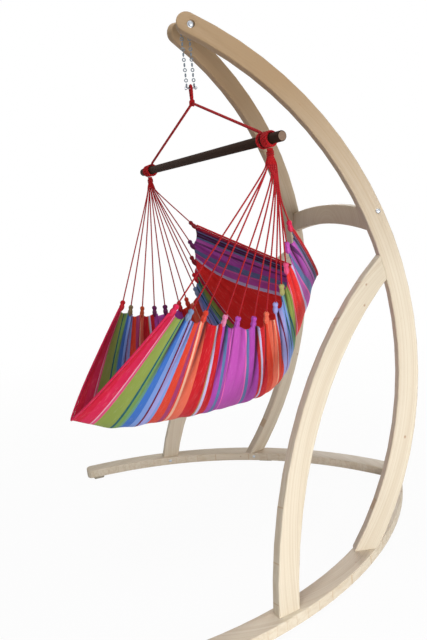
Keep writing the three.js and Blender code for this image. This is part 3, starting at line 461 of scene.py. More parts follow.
def clothSmooth(row, across):
    edge = onLine(leftLine if across < 0 else rightLine, row)
    low = onLine(lowLine, row)
    a = abs(across)
    lift = a ** drawnIn("sagPower", row)
    point = low.lerp(edge, lift)
    point.x = edge.x * (a + drawnIn("sideBulge", row) * a * (1 - a * a))
    return point


def clothNormal(row, across):
    step = 0.02
    ahead, behind = min(row + step, lastRow), max(row - step, 0)
    along = clothSmooth(ahead, across) - clothSmooth(behind, across)
    over = clothSmooth(row, min(across + step, 1)) - clothSmooth(row, max(across - step, -1))
    return along.cross(over).normalized()


def groovesAt(row, across):
    # narrow folds run down beside each knot, no two alike, and close up below
    depth = 0.0
    nearest = round(row)
    for knot in (nearest - 1, nearest, nearest + 1):
        if 0 < knot < lastRow:
            side = 1.3 if across < 0 else 0.0
            for place, width, share in seatShape["folds"]:
                lean = place * (1 + 0.25 * math.sin(5.1 * knot + side))
                lean += seatShape["foldLean"] * (1 - abs(across))
                far = (row - knot - lean) / width
                if abs(far) < 3:
                    length = max(0.15, 0.6 + 0.5 * math.sin(3.7 * knot + 9 * place + side))
                    depth += share * length * math.exp(-far * far)
    return depth


def clothPoint(row, across):
    a = abs(across)
    between = math.sin(math.pi * row) ** 2
    hung = abs(math.sin(math.pi * row)) ** 0.5
    point = clothSmooth(row, across)
    inward = clothSmooth(row, across * 0.97) - point
    if inward.length > 0:
        scallop = seatShape["scallopDepth"] * hung * a ** seatShape["scallopFade"]
        point = point + inward.normalized() * scallop
    fold = seatShape["foldDepth"] * between * a ** seatShape["foldFade"]
    pleat = seatShape["pleatDepth"] * groovesAt(row, across) * a ** seatShape["pleatFade"]
    crease = math.sin(9.0 * row + 4 * across) * math.sin(5.2 * across + row) * (1 - a * a)
    crease *= seatShape["creaseDepth"]
    return point + clothNormal(row, across) * (fold - pleat + crease)


def inSeat(point):
    # from millimetres seen from the bar's middle to metres in the room
    return seatPlace @ (Vector(point) * mm)


# rope loop, knot, arms

ropeShape = {
    "diameter": 10.5,
    "loopBendSides": 9,
    "pinDiameter": 7,
    "legsAtKnot": 4,
    "legLength": 52,
    "knotSteps": 48,
    "knotCord": 0.92,  # the knot's rope, squeezed to this share of its thickness
    "knotLobe": 1.6,
    "knotWide": 3.0,
    "knotDeep": 8.5,
    "barDiameter": 34,
    "barDrop": 210,
    "turnAt": 483,
    "turnGap": 0.6,
    "turnSides": 16,
    "turnSteps": 24,
    "lead": (22, 4, 9),
    "leadSteps": 12,
    "spacing": 0.0016,
    "sides": 20,
}
fitGap = 0.3


def wrapRadius(wrapped, cord, sides):
    # where a cord's middle runs round a round piece, as a path with this many sides
    return (wrapped / 2 + fitGap + cord / 2) / math.cos(math.pi / sides)


def thickRope(name, path, share=1.0):
    return ropeTube(name, path, ropeShape["diameter"] * share, ropeShape)


def ropeLoop():
    radius = wrapRadius(ropeShape["pinDiameter"], ropeShape["diameter"], ropeShape["loopBendSides"])
    legs, straight = ropeShape["legsAtKnot"], ropeShape["legLength"]
    points = [(legs, 0, -straight), (radius - 1, 0, -straight / 2)]
    for i in range(7):
        angle = math.pi * i / 6
        points.append((radius * math.cos(angle), 0, radius * math.sin(angle)))
    points += [(1 - radius, 0, -straight / 2), (-legs, 0, -straight)]
    return thickRope("ropeLoop", [pinPoint + Vector(p) * mm for p in smoothCurve(points, 8)])


def ropeKnot():
    # an overhand knot pulled tight: a trefoil turn of the rope round itself
    lobe, wide, deep = ropeShape["knotLobe"], ropeShape["knotWide"], ropeShape["knotDeep"]
    points = []
    for i in range(ropeShape["knotSteps"]):
        t = math.tau * i / ropeShape["knotSteps"]
        x = math.sin(t) + lobe * math.sin(2 * t)
        y = math.cos(t) - lobe * math.cos(2 * t)
        points.append(Vector((x * wide, y * wide, -math.sin(3 * t) * deep)) * mm + knotPoint)
    points.append(points[0])
    return thickRope("ropeKnot", points, ropeShape["knotCord"])[0]


def armPath(side):
    # from the knot straight to the bar, then one turn round it
    diameter, steps = ropeShape["diameter"], ropeShape["turnSteps"]
    radius = wrapRadius(ropeShape["barDiameter"], diameter, ropeShape["turnSides"])
    ring = []
    for i in range(steps + 1):
        angle = math.tau * i / steps
        x = ropeShape["turnAt"] + (diameter + ropeShape["turnGap"]) * i / steps
        ring.append(Vector((side * x, -side * radius * math.sin(angle),
                            radius * math.cos(angle) - ropeShape["barDrop"])))
    back, aside, rise = ropeShape["lead"]
    landing = ring[0] + Vector((-side * back, side * aside, rise))
    start = landing.normalized() * diameter
    run = [start.lerp(landing, i / ropeShape["leadSteps"]) for i in range(ropeShape["leadSteps"])]
    return [armPlace @ (p * mm) for p in run + smoothCurve([landing, *ring], 3)]


finishCord(ropeLoop(), redRope, "rope", "hanging_rope")
finishPiece(ropeKnot(), redRope, "rope", ["hanging_rope"], 80)
for side, sideName in bothSides:
    finishCord(thickRope("ropeArm." + sideName, armPath(side)), redRope, "bar",
               "rope_arm_" + sideName)
print("rope loop, knot and arms made")


# windings and bundles near the ends of the bar

tieShape = {
    "cordDiameter": 9,
    "turns": 4,
    "gap": 0.6,
    "stepsPerTurn": 48,
    "at": 523,
    "spacing": 0.0016,
    "sides": 18,
}
bundleShape = {
    "length": 52,
    "cord": 6.4,
    "spacing": 0.0018,
    "strands": 12,
    "topDrop": 1.5,
    "topWide": 7.5,
    "topDeep": 9.5,
    "neckDrop": 18,
    "neckShare": 0.72,
    "fanWide": 7.0,
    "fanDeep": 3.2,
    "lashCord": 5.2,
    "lashTurns": 3,
    "lashWide": 10.0,
    "lashDeep": 11.2,
    "lashDrop": 11,
    "lashLength": 16,
    "sides": 12,
}
windingRadius = wrapRadius(ropeShape["barDiameter"], tieShape["cordDiameter"], 16)
bundleTop = -windingRadius - tieShape["cordDiameter"] / 2 - fitGap
bundleBottom = bundleTop - bundleShape["length"]


def windingPath(side):
    turns = tieShape["turns"]
    pitch = tieShape["cordDiameter"] + tieShape["gap"]
    first = tieShape["at"] - pitch * turns / 2
    path = []
    steps = tieShape["stepsPerTurn"] * turns
    for i in range(steps + 1):
        angle = math.tau * turns * i / steps - math.pi / 2
        x = side * (first + pitch * turns * i / steps)
        path.append(inSeat((x, windingRadius * math.cos(angle), windingRadius * math.sin(angle))))
    return path


def strandEnd(row, side):
    # where one cord leaves the bundle, in a row from front to back
    x = tieShape["at"] + bundleShape["fanWide"] * (row % 2 - 0.5)
    y = bundleShape["fanDeep"] * (row - (bundleShape["strands"] - 1) / 2)
    return Vector((side * x, y, bundleBottom))


def strand(row, side):
    # the cords start in a flat ring below the winding, close up and open out towards the seat
    share = (row + 0.5) / bundleShape["strands"]
    aside = bundleShape["topWide"] * (1 if row % 2 else -1) * math.sin(math.pi * (1 - share))
    middle = Vector((side * tieShape["at"], 0, bundleTop))
    top = middle + Vector((side * aside, bundleShape["topDeep"] * (2 * share - 1),
                           -bundleShape["topDrop"]))
    neck = middle + bundleShape["neckShare"] * Vector((top.x - middle.x, top.y, 0))
    neck.z -= bundleShape["neckDrop"]
    end = strandEnd(row, side)
    return smoothCurve([top, neck, neck.lerp(end, 0.6), end], 8)


def lashing(side):
    steps = tieShape["stepsPerTurn"] * bundleShape["lashTurns"]
    for i in range(steps + 1):
        angle = math.tau * bundleShape["lashTurns"] * i / steps
        yield (side * tieShape["at"] + bundleShape["lashWide"] * math.cos(angle),
               bundleShape["lashDeep"] * math.sin(angle),
               bundleTop - bundleShape["lashDrop"] - bundleShape["lashLength"] * i / steps)


def bundle(side, name):
    made = [ropeTube(name, [inSeat(p) for p in strand(row, side)], bundleShape["cord"],
                     bundleShape)[0] for row in range(bundleShape["strands"])]
    made.append(ropeTube(name, [inSeat(p) for p in lashing(side)], bundleShape["lashCord"],
                         {**bundleShape, "spacing": tieShape["spacing"]})[0])
    return joinAll(made, name)


for side, sideName in bothSides:
    winding = ropeTube("cordWinding." + sideName, windingPath(side), tieShape["cordDiameter"],
                       tieShape)
    finishCord(winding, redRope, "seat", "cord_winding_" + sideName)
    finishPiece(bundle(side, "cordBundle." + sideName), redRope, "seat",
                ["cord_bundle_" + sideName], 80)
print("windings and bundles made")


# seat cords, each from its bundle to its knot on the cloth

cordShape = {
    "diameter": 6.0,
    "knotLength": 20,
    "knotShare": 0.7,  # of the knot's length, where the cord goes into it
    "bandFirst": 3,  # row from which the near side's cords lie in a band
    "bandLeast": 14,
    "bandLength": 112,
    "bandRow": 10,
    "bandSpread": 0.6,
    "spacing": 0.004,
    "sides": 9,
}


def cordStart(row, side):
    return strandEnd(row, side) - Vector((0, 0, fitGap))


def cordEnd(row, side):
    edge = onLine(rightLine if side > 0 else leftLine, row)
    away = (cordStart(row, side) - edge).normalized()
    return edge, away


def cordPath(row, side):
    edge, away = cordEnd(row, side)
    start = cordStart(row, side)
    end = edge + away * (seatShape["thickness"] / 2
                         + cordShape["knotLength"] * cordShape["knotShare"])
    down = 2 * cordShape["diameter"] * Vector((0, 0, -1))
    onward = 2 * cordShape["diameter"] * (end - start).normalized()
    turns = [start, start + down.lerp(onward, 0.5)]
    if side > 0 and row >= cordShape["bandFirst"]:
        # these stay together in a band that leads to the rearmost knots
        neck = Vector((side * tieShape["at"], 0, bundleBottom))
        along = (cordEnd(cordShape["bandRow"], side)[0] - neck).normalized()
        share = min(1.0, (row - 2) / 7)
        leave = neck + along * (cordShape["bandLeast"] + cordShape["bandLength"] * share)
        spread = Vector((start.x - neck.x, start.y, 0))
        turns.append(leave + spread * cordShape["bandSpread"])
    return [inSeat(p) for p in smoothCurve([*turns, end], 12)]


for side, sideName in bothSides:
    for row in range(len(knotRows)):
        seatCord = ropeTube(f"seatCord.{sideName}.{row + 1}", cordPath(row, side),
                            cordShape["diameter"], cordShape, strands=2, pitch=2.6, depth=0.16)
        finishCord(seatCord, redCord, "seat", f"cord_{sideName}_{row // 2 + 1}")
print("seat cords made")


# striped cloth

clothColours = {
    "hotPink": srgb(222, 38, 84),
    "pink": srgb(232, 82, 130),
    "palePink": srgb(240, 168, 190),
    "roseRed": srgb(214, 28, 62),
    "olive": srgb(146, 164, 78),
    "green": srgb(120, 160, 84),
    "seaGreen": srgb(108, 158, 130),
    "teal": srgb(24, 92, 104),
    "blue": srgb(64, 116, 200),
    "lightBlue": srgb(128, 160, 226),
    "lavender": srgb(164, 166, 228),
    "paleLilac": srgb(206, 194, 234),
    "maroon": srgb(112, 14, 58),
    "orangeRed": srgb(222, 66, 42),
    "mauve": srgb(168, 60, 110),
    "palePeach": srgb(246, 190, 160),
    "salmon": srgb(240, 112, 84),
    "red": srgb(206, 24, 36),
    # the seat's red stripe, brighter than the other reds: its own red with painted light on it
    "brightRed": srgb(238, 44, 40),
    "tan": srgb(176, 140, 96),
    "purple": srgb(178, 74, 178),
    "magenta": srgb(196, 84, 184),
    "pinkLine": srgb(240, 108, 190),
    "slate": srgb(94, 122, 172),
    "indigo": srgb(66, 44, 110),
    "deepPurple": srgb(96, 40, 104),
    "blackPurple": srgb(40, 16, 40),
    "slateBlue": srgb(126, 150, 190),
    "pinkKnot": srgb(226, 130, 170),
    "tanGreen": srgb(176, 170, 104),
    "tanKnot": srgb(128, 108, 72),
    "orangeKnot": srgb(196, 74, 34),
    "darkPurple": srgb(110, 34, 92),
    "redKnot": srgb(140, 20, 32),
}

# stripes from the front hem to the back hem: where each starts, in rows of knots
stripes = [
    (0.00, "roseRed"), (0.05, "hotPink"), (0.22, "palePink"), (0.25, "pink"), (0.31, "olive"),
    (0.62, "teal"), (0.67, "green"), (0.75, "seaGreen"), (0.82, "blue"), (1.00, "lightBlue"),
    (1.14, "maroon"), (1.19, "lavender"), (1.32, "lightBlue"), (1.40, "orangeRed"),
    (1.68, "mauve"), (1.80, "orangeRed"), (1.86, "palePeach"), (1.93, "salmon"), (2.20, "red"),
    (2.60, "tan"), (2.65, "paleLilac"), (2.73, "red"), (2.95, "purple"), (3.16, "slate"),
    (3.31, "purple"), (3.45, "pinkLine"), (3.50, "magenta"), (4.38, "pinkLine"), (4.44, "slate"),
    (4.62, "purple"), (5.10, "red"), (5.22, "tan"), (5.26, "paleLilac"), (5.36, "red"),
    (5.66, "orangeRed"), (6.00, "salmon"), (6.44, "palePeach"), (6.51, "orangeRed"),
    (6.82, "lavender"), (7.12, "maroon"), (7.20, "lavender"), (7.42, "lightBlue"), (7.66, "teal"),
    (7.76, "lightBlue"), (7.90, "seaGreen"), (8.04, "teal"), (8.10, "olive"), (8.52, "hotPink"),
    (8.74, "palePink"), (8.78, "brightRed"), (9.34, "paleLilac"), (9.43, "magenta"),
    (9.64, "pinkLine"), (9.69, "slate"), (9.88, "purple"), (10.20, "deepPurple"),
    (10.30, "magenta"), (10.46, "slate"), (10.54, "blackPurple"), (10.62, "indigo"),
    (10.68, "blackPurple"), (10.75, "slate"), (10.80, "maroon"), (10.90, "red"),
]

# how far the stripes run back from their knots by the seat's lowest line, in rows of knots
stripeRun = [0.1, 0.3, 0.45, 0.7, 0.76, 0.8, 0.9, 0.95, 0.8, 0.55, 0.8, 0.0]

# on the far side a deep fold hides part of the green and spreads the red
farFold = {"rows": [8.1, 8.78, 9.34, 10.0], "greenHidden": 0.5, "redSpread": 0.3, "fullAt": 0.25}


def stripeRow(row, across):
    share = 1 - abs(across) ** 1.6
    at = row
    for _ in range(6):
        inRows = max(0.0, min(at, lastRow - 1e-6))
        i = int(inRows)
        run = stripeRun[i] + (stripeRun[i + 1] - stripeRun[i]) * (inRows - i)
        at = 0.5 * (at + row - run * share)
    if across < 0:
        hidden = share * min(1.0, -across / farFold["fullAt"])
        real = farFold["rows"]
        seen = [real[0], real[1] - farFold["greenHidden"] * hidden,
                real[2] + farFold["redSpread"] * hidden, real[3]]
        for i in range(3):
            if seen[i] <= at < seen[i + 1]:
                at = real[i] + (at - seen[i]) * (real[i + 1] - real[i]) / (seen[i + 1] - seen[i])
                break
    return max(at, 0.0)


def stripeColours(look, row):
    # a ramp takes 32 stops, so the stripes are shared out over a few ramps
    perRamp = 24
    colour = None
    for first in range(0, len(stripes), perRamp):
        some = stripes[first:first + perRamp]
        start = some[0][0]
        rest = stripes[first + perRamp:]
        end = rest[0][0] if rest else float(lastRow)
        stops = [((at - start) / (end - start), clothColours[name]) for at, name in some]
        ramp = look.node("ShaderNodeValToRGB", {"stops": stops, "stepped": True},
                         {0: (row - start) / (end - start)})[0]
        colour = ramp if colour is None else look.mix(colour, ramp, row > start)
    return colour


clothFinish = {
    # the first two: painted shade on the inner face of the back rows, and painted shadow in the
    # folds beside the knots
    "paintedInsideShade": (0.12, 0.01, 0.05, 1),
    "foldShadow": (0.04, 0.004, 0.02, 1),
    "threadShadow": (0.02, 0.01, 0.02, 1),
    "slubLight": (1, 0.95, 0.95, 1),
    "shadowGain": 2.8,
    "shadowCurve": 1.5,
    "shadowFade": 3.5,
    "insideTone": 0.28,
    "insideShadeFrom": 9.3,
    "warpPitch": 0.0016,
    "weftPitch": 0.0019,
    "roughness": 0.9,
    "relief": 0.0012,
}


def clothMaterial(name, plain=None):
    look = Look(name)
    across, along, row = look.parts(look.attribute("weave"))
    thread = look.noise(look.vector(across * 8.0, along * 900.0, 0.0), 2)
    wander = look.noise(look.vector(across * 3.0, along * 3.0, 0.0), 1)
    if plain == "shade":
        colour = look.attribute("shade")
    elif plain:
        colour = plain
    else:
        colour = stripeColours(look, row + (wander - 0.5) * 0.02 + (thread - 0.5) * 0.012)
        innerFaceShade, folded, _ = look.parts(look.attribute("inside"))
        # painted shade: the inner face of the back rows darker, then painted shadow in the folds
        # beside the knots
        colour = look.mix(colour, clothFinish["paintedInsideShade"], innerFaceShade)
        colour = look.mix(colour, clothFinish["foldShadow"], folded * 0.86)
    slub = look.noise(look.vector(across * 30.0, along * 300.0, 0.5), 3)
    light = ((slub - 0.55) * 0.35).maths("MAXIMUM", 0.0)
    colour = look.mix(colour, clothFinish["threadShadow"], thread * 0.16)
    colour = look.mix(colour, clothFinish["slubLight"], light)
    warp = (along * (math.tau / clothFinish["warpPitch"])).maths("SINE")
    weft = (across * (math.tau / clothFinish["weftPitch"])).maths("SINE")
    crumple = look.noise(look.vector(across * 9.0, along * 26.0, 0.0), 3)
    height = warp * weft * 0.12 + slub * 0.25 + crumple * 2.2
    return look.set(colour=colour, roughness=clothFinish["roughness"] - slub * 0.1,
                    normal=look.bump(height, clothFinish["relief"]), **softShine)


def foldShadow(row, across):
    grooves = groovesAt(row, across) ** clothFinish["shadowCurve"]
    fade = abs(across) ** clothFinish["shadowFade"]
    return min(1.0, clothFinish["shadowGain"] * grooves * fade)


def seatCloth():
    rows = lastRow * seatShape["stepsPerKnot"]
    columns = seatShape["acrossSteps"]
    middle = columns // 2
    points, weave, shadow = [], [], []
    for i in range(rows + 1):
        row = i / seatShape["stepsPerKnot"]
        line = [clothPoint(row, 2 * j / columns - 1) for j in range(columns + 1)]
        run = [0.0]
        for a, b in zip(line, line[1:]):
            run.append(run[-1] + (b - a).length)
        for j, point in enumerate(line):
            points.append(inSeat(point))
            across = 2 * j / columns - 1
            weave.append(((run[j] - run[middle]) * mm, row * seatShape["rowPitch"],
                          stripeRow(row, across)))
            shadow.append(foldShadow(row, across))
    faces = []
    for i in range(rows):
        for j in range(columns):
            a = i * (columns + 1) + j
            faces.append((a, a + columns + 1, a + columns + 2, a + 1))
    obj = meshPiece("seatCloth", points, faces)
    setVectors(obj, "weave", weave)
    solidify = obj.modifiers.new("wall", "SOLIDIFY")
    solidify.thickness = seatShape["thickness"] * mm
    solidify.offset = 0
    applyAll(obj)
    # the wall's first half of points is its outer face, the second half its inner one
    # painted shade for the material: shadow in the folds on the outer face, shade on the inner face
    # from the back rows on
    inside = [(0, share, 0) for share in shadow]
    for _, _, row in weave:
        deep = min(1, max(0, (row - clothFinish["insideShadeFrom"]) / 0.3))
        inside.append((clothFinish["insideTone"] * deep, 0, 0))
    setVectors(obj, "inside", inside)
    return obj


def flatArea(obj):
    return sum(face.area for face in obj.data.polygons) / 2


def hem(name, row, inwardRow, colour, node):
    diameter, steps = hemShape["diameter"], hemShape["steps"]
    path = []
    for j in range(steps + 1):
        across = (2 * j / steps - 1) * hemShape["reach"]
        edge = clothPoint(row, across)
        away = (edge - clothSmooth(inwardRow, across)).normalized()
        path.append(inSeat(edge + away * (diameter / 2 + 2 * fitGap)))
    obj = ropeTube(name, path, diameter, hemShape, strands=1, pitch=7, depth=0.05)[0]
    laid = [item.vector.copy() for item in obj.data.attributes["laid"].data]
    setVectors(obj, "weave", [(v.x * diameter * mm, v.y * 0.02, row) for v in laid])
    material = clothMaterial(name + "Cloth", clothColours[colour])
    return finishPiece(obj, material, "seat", [node], 180)


cloth = finishPiece(seatCloth(), clothMaterial("stripedCloth"), "seat",
                    ["seat_cloth"], 180)
frontHem = hem("frontHem", 0, 1, "hotPink", "front_hem")
backHem = hem("backHem", lastRow, lastRow - 1, "red", "back_hem")
print("cloth area", round(flatArea(cloth), 3))


# knots of cloth, each drawn up into a small ball round the end of its cord

clothKnotShape = {
    # radius, and height along the cord, in millimetres
    "profile": [(2.5, -30), (7.5, -21), (9.8, -12), (9.6, -5), (8.2, 0), (7.4, 3.5), (9.0, 6.5),
                (10.4, 10.5), (10.4, 14.5), (8.8, 18.5), (5.4, 21.7), (0.3, 22.6)],
    "sides": 24,
    "pleat": 0.16,
    "pleats": 6,
    "lump": 0.07,
}
# their colours from the front, as seen
knotShades = {
    "right": ["hotPink", "slateBlue", "orangeRed", "pinkKnot", "purple", "purple", "salmon",
              "lavender", "tanGreen", "pink", "magenta", "hotPink"],
    "left": ["red", "tanKnot", "orangeKnot", "darkPurple", "darkPurple", "red", "orangeRed",
             "slateBlue", "red", "redKnot", "darkPurple", "redKnot"],
}


def clothKnot(row, side, name, colour):
    edge, away = cordEnd(row, side)
    across = away.orthogonal().normalized()
    beside = away.cross(across)
    profile, sides = clothKnotShape["profile"], clothKnotShape["sides"]
    points, weave = [], []
    for ring, (radius, height) in enumerate(profile):
        fade = 1 - ring / len(profile)
        for j in range(sides):
            angle = math.tau * j / sides
            wave = clothKnotShape["pleat"] * math.sin(clothKnotShape["pleats"] * angle + row) * fade
            wave += clothKnotShape["lump"] * math.sin(2 * angle + 1.3 * row + 0.25 * ring)
            outward = math.cos(angle) * across + math.sin(angle) * beside
            points.append(inSeat(edge + away * height + radius * (1 + wave) * outward))
            weave.append((height * mm, angle * 0.004, row))
    faces = tubeFaces(len(profile), sides)
    faces.append(tuple(range(sides))[::-1])
    faces.append(tuple((len(profile) - 1) * sides + j for j in range(sides)))
    obj = meshPiece(name, points, faces)
    setVectors(obj, "weave", weave)
    setVectors(obj, "shade", [colour[:3]] * len(points))
    return obj


knotCloth = clothMaterial("knotCloth", "shade")
for side, sideName in bothSides:
    made = [clothKnot(row, side, f"clothKnot.{sideName}.{row}", clothColours[shade])
            for row, shade in enumerate(knotShades[sideName])]
    finishPiece(joinAll(made, "clothKnots." + sideName), knotCloth, "seat",
                                  (), 60)
print("cloth, hems and knots made")


# spruce beams

woodFinish = {
    "pale": srgb(219, 209, 190),
    "grain": srgb(186, 165, 134),
    "knot": srgb(150, 96, 54),
    "glue": srgb(186, 152, 108),
    "tanned": srgb(164, 132, 94),  # of the arches towards the top: painted shade, darker and warmer where less light falls, as in the photo
    "topShadeFrom": 1.05,
    "topShadeOver": 0.75,
    "layer": 0.0127,  # one bent board of the lamination
    "layerStart": 0.004,
    "glueShare": 0.035,
    "knotSize": 0.13,
    "knotsFrom": 0.86,
    "roughness": 0.48,
    "relief": 0.0004,
}


def spruceMaterial():
    look = Look("laminatedSpruce")
    ahead, beside, deep = look.parts(look.attribute("grain"))
    radius, depth, _ = look.parts(look.attribute("bend"))
    along = beside.maths("ARCTAN2", ahead) * radius
    outward = (ahead * ahead + beside * beside) ** 0.5 - radius + depth + woodFinish["layerStart"]
    layer = (outward / woodFinish["layer"]).maths("FLOOR")
    tone = look.node("ShaderNodeTexWhiteNoise", {"noise_dimensions": "1D"}, {"W": layer + 3.3})[0]
    wander = look.noise(look.vector(along * 1.6, outward * 9.0, layer * 7.7), 3)
    rings = look.noise(look.vector(along * 0.9 + tone * 8.0, outward * 190.0 + wander * 3.0,
                                   deep * 85.0), 2)
    fibre = look.noise(look.vector(along * 14.0, outward * 900.0, deep * 900.0), 2)
    dark = ((rings - 0.42) * 2.4).clamped()
    colour = look.mix(woodFinish["pale"], woodFinish["grain"], dark * 0.55 + tone * 0.16)
    colour = look.mix(colour, woodFinish["grain"], fibre * 0.22)
    edge = (outward / woodFinish["layer"]).maths("FRACT")
    glue = (edge < woodFinish["glueShare"]) * 0.5
    colour = look.mix(colour, woodFinish["glue"], glue)
    cell = look.node("ShaderNodeTexVoronoi", {"feature": "F1"},
                     {"Vector": look.vector(along * 15.0, outward * 24.0, deep * 24.0),
                      "Scale": 1.0})
    knotSpot = ((woodFinish["knotSize"] - cell[0]) * 9.0).clamped()
    rare = look.parts(cell[1])[0] > woodFinish["knotsFrom"]
    colour = look.mix(colour, woodFinish["knot"], knotSpot * rare * 0.75)
    # painted shade: the beams turn darker and warmer from 1.05 m up, for the light that falls off
    # towards the top
    height = look.parts(look.objectPlace())[2]
    topShadeAmount = ((height - woodFinish["topShadeFrom"]) / woodFinish["topShadeOver"]).clamped()
    colour = look.mix(colour, woodFinish["tanned"], topShadeAmount * 0.85)
    relief = rings * 0.3 + fibre * 0.06 - glue * 0.5
    return look.set(colour=colour, roughness=woodFinish["roughness"] + fibre * 0.14,
                    normal=look.bump(relief, woodFinish["relief"]), shine=0.3)


def fittedCircle(points):
    # centre and radius of the circle that fits best
    sums = [[0.0] * 4 for _ in range(3)]
    for x, y in points:
        row = (x, y, 1.0, x * x + y * y)
        for i in range(3):
            for j in range(4):
                sums[i][j] += row[i] * row[j]
    matrix = Matrix([line[:3] for line in sums])
    a, b, c = matrix.inverted() @ Vector([line[3] for line in sums])
    centre = Vector((a / 2, b / 2))
    return centre, math.sqrt(c + centre.length_squared)


def outerBend(points):
    # the circle of a beam's outer face, found from the beam's own corners
    centre, radius = fittedCircle(points)
    for tolerance in (0.03, 0.012, 0.004, 0.002, 0.002):
        far = sorted((Vector(p) - centre).length for p in points)
        outer = far[int(len(far) * 0.8)]
        chosen = [p for p in points if abs((Vector(p) - centre).length - outer) < tolerance]
        if len(chosen) < 12:
            break
        centre, radius = fittedCircle(chosen)
    return centre, radius


def giveBentGrain(obj, depth):
    # places seen from the middle of the bend, so that the material can wind the grain round it
    obj.data.update()
    largest = max(obj.data.polygons, key=lambda polygon: polygon.area)
    flatWay = largest.normal.normalized()
    first = flatWay.orthogonal().normalized()
    second = flatWay.cross(first)
    points = [vertex.co.copy() for vertex in obj.data.vertices]
    flat = [(point.dot(first), point.dot(second)) for point in points]
    centre, radius = outerBend(flat)
    spokes = [Vector(point) - centre for point in flat]
    middle = sum(spokes, Vector((0, 0))).normalized()
    beside = Vector((-middle.y, middle.x))
    setVectors(obj, "grain", [(spoke.dot(middle), spoke.dot(beside), point.dot(flatWay))
                              for spoke, point in zip(spokes, points)])
    setVectors(obj, "bend", [(radius, depth, 0)] * len(points))


def giveStraightGrain(obj, depth):
    # as if bent round a middle so far away that it doesn't show
    radius = 50.0
    places = [vertex.co for vertex in obj.data.vertices]
    setVectors(obj, "grain", [(p.x + radius, p.y, p.z) for p in places])
    setVectors(obj, "bend", [(radius, depth, 0)] * len(places))


cleanUp = {"mergeWithin": 0.00002, "flatDegrees": 0.4}


def finerCopy(node):
    # a copy of the CAD node, named in camel case, with its flat faces in one piece each
    first, *words = node.split("_")
    name = first + "".join(word.capitalize() for word in words)
    obj = bpy.data.objects.new(name, frame["nodes"][node].data.copy())
    intoScene(obj)
    pickOnly(obj)
    setMode("EDIT")
    bpy.ops.mesh.select_all(action="SELECT")
    bpy.ops.mesh.remove_doubles(threshold=cleanUp["mergeWithin"])
    bpy.ops.mesh.dissolve_limited(angle_limit=math.radians(cleanUp["flatDegrees"]))
    setMode("OBJECT")
    return obj


def softenEdges(obj, width, angle):
    bevel = obj.modifiers.new("soft edges", "BEVEL")
    bevel.width = width
    bevel.segments = 2
    bevel.limit_method = "ANGLE"
    bevel.angle_limit = math.radians(angle)
    applyAll(obj)


# each beam's depth across its bend, in metres
beamDepths = {"arch_right": 0.076, "arch_left": 0.076, "strut_right": 0.08, "strut_left": 0.08,
              "runner_right": 0.08, "runner_left": 0.08, "crossbar": 0.08, "rear_tongue": 0.04}
spruce = spruceMaterial()
for node, depth in beamDepths.items():
    piece = finerCopy(node)
    if node == "rear_tongue":
        giveStraightGrain(piece, depth)
    else:
        piece.name = "crossBeam" if node == "crossbar" else node.replace("_", "Beam.")
        softenEdges(piece, 0.0012, 25)
        giveBentGrain(piece, depth)
    finishPiece(piece, spruce, "stand", [node], 30)
print("beams made")


# steel, rubber and the stained bar

zincFinish = {"colour": srgb(196, 200, 205), "dull": srgb(150, 154, 160), "roughness": 0.3}
chainFinish = {"colour": srgb(132, 142, 150), "dull": srgb(84, 92, 100), "roughness": 0.42}
padFinish = {"dark": srgb(150, 144, 130), "light": srgb(176, 168, 150), "roughness": 0.75}
barFinish = {
    "stain": srgb(58, 36, 22),
    "streak": srgb(26, 15, 9),
    "cut": srgb(150, 126, 108),
    "cutRing": srgb(104, 84, 70),
    "cutRadius": 0.0145,
    "cutFrom": 0.598,
    "roughness": 0.55,
}


def steelMaterial(name, colour, dull, roughness):
    look = Look(name)
    place = look.objectPlace()
    cloud = look.noise(place, 3, 60.0)
    fine = look.noise(place, 2, 700.0)
    tone = look.mix(colour, dull, cloud * 0.6)
    return look.set(colour=tone, metal=1.0, roughness=roughness + cloud * 0.18,
                    normal=look.bump(fine, 0.0001, 0.5))


def rubberMaterial():
    look = Look("padRubber")
    place = look.objectPlace()
    grit = look.noise(place, 3, 900.0)
    cloud = look.noise(place, 2, 30.0)
    return look.set(colour=look.mix(padFinish["dark"], padFinish["light"], cloud),
                    roughness=padFinish["roughness"] + grit * 0.15, normal=look.bump(grit, 0.0003))


def barMaterial():
    look = Look("stainedBar")
    along, ahead, beside = look.parts(look.attribute("grain"))
    outward = (ahead * ahead + beside * beside) ** 0.5
    streak = look.noise(look.vector(along * 7.0, ahead * 260.0, beside * 260.0), 4)
    pore = look.noise(look.vector(along * 60.0, ahead * 900.0, beside * 900.0), 2)
    endFace = (outward < barFinish["cutRadius"]) * (along.maths("ABSOLUTE") > barFinish["cutFrom"])
    tone = look.mix(barFinish["stain"], barFinish["streak"], streak)
    rings = (outward * 1800.0 + streak * 4.0).maths("SINE") * 0.25 + 0.5
    tone = look.mix(tone, look.mix(barFinish["cut"], barFinish["cutRing"], rings), endFace)
    return look.set(colour=tone, roughness=barFinish["roughness"] + pore * 0.15,
                    normal=look.bump(streak + pore * 0.4, 0.0004), shine=0.08)


zincSteel = steelMaterial("zincSteel", **zincFinish)
chainSteel = steelMaterial("chainSteel", **chainFinish)
padRubber = rubberMaterial()


def onBothSides(*kinds):
    return [f"{kind}_{sideName}" for kind in kinds for _, sideName in bothSides]


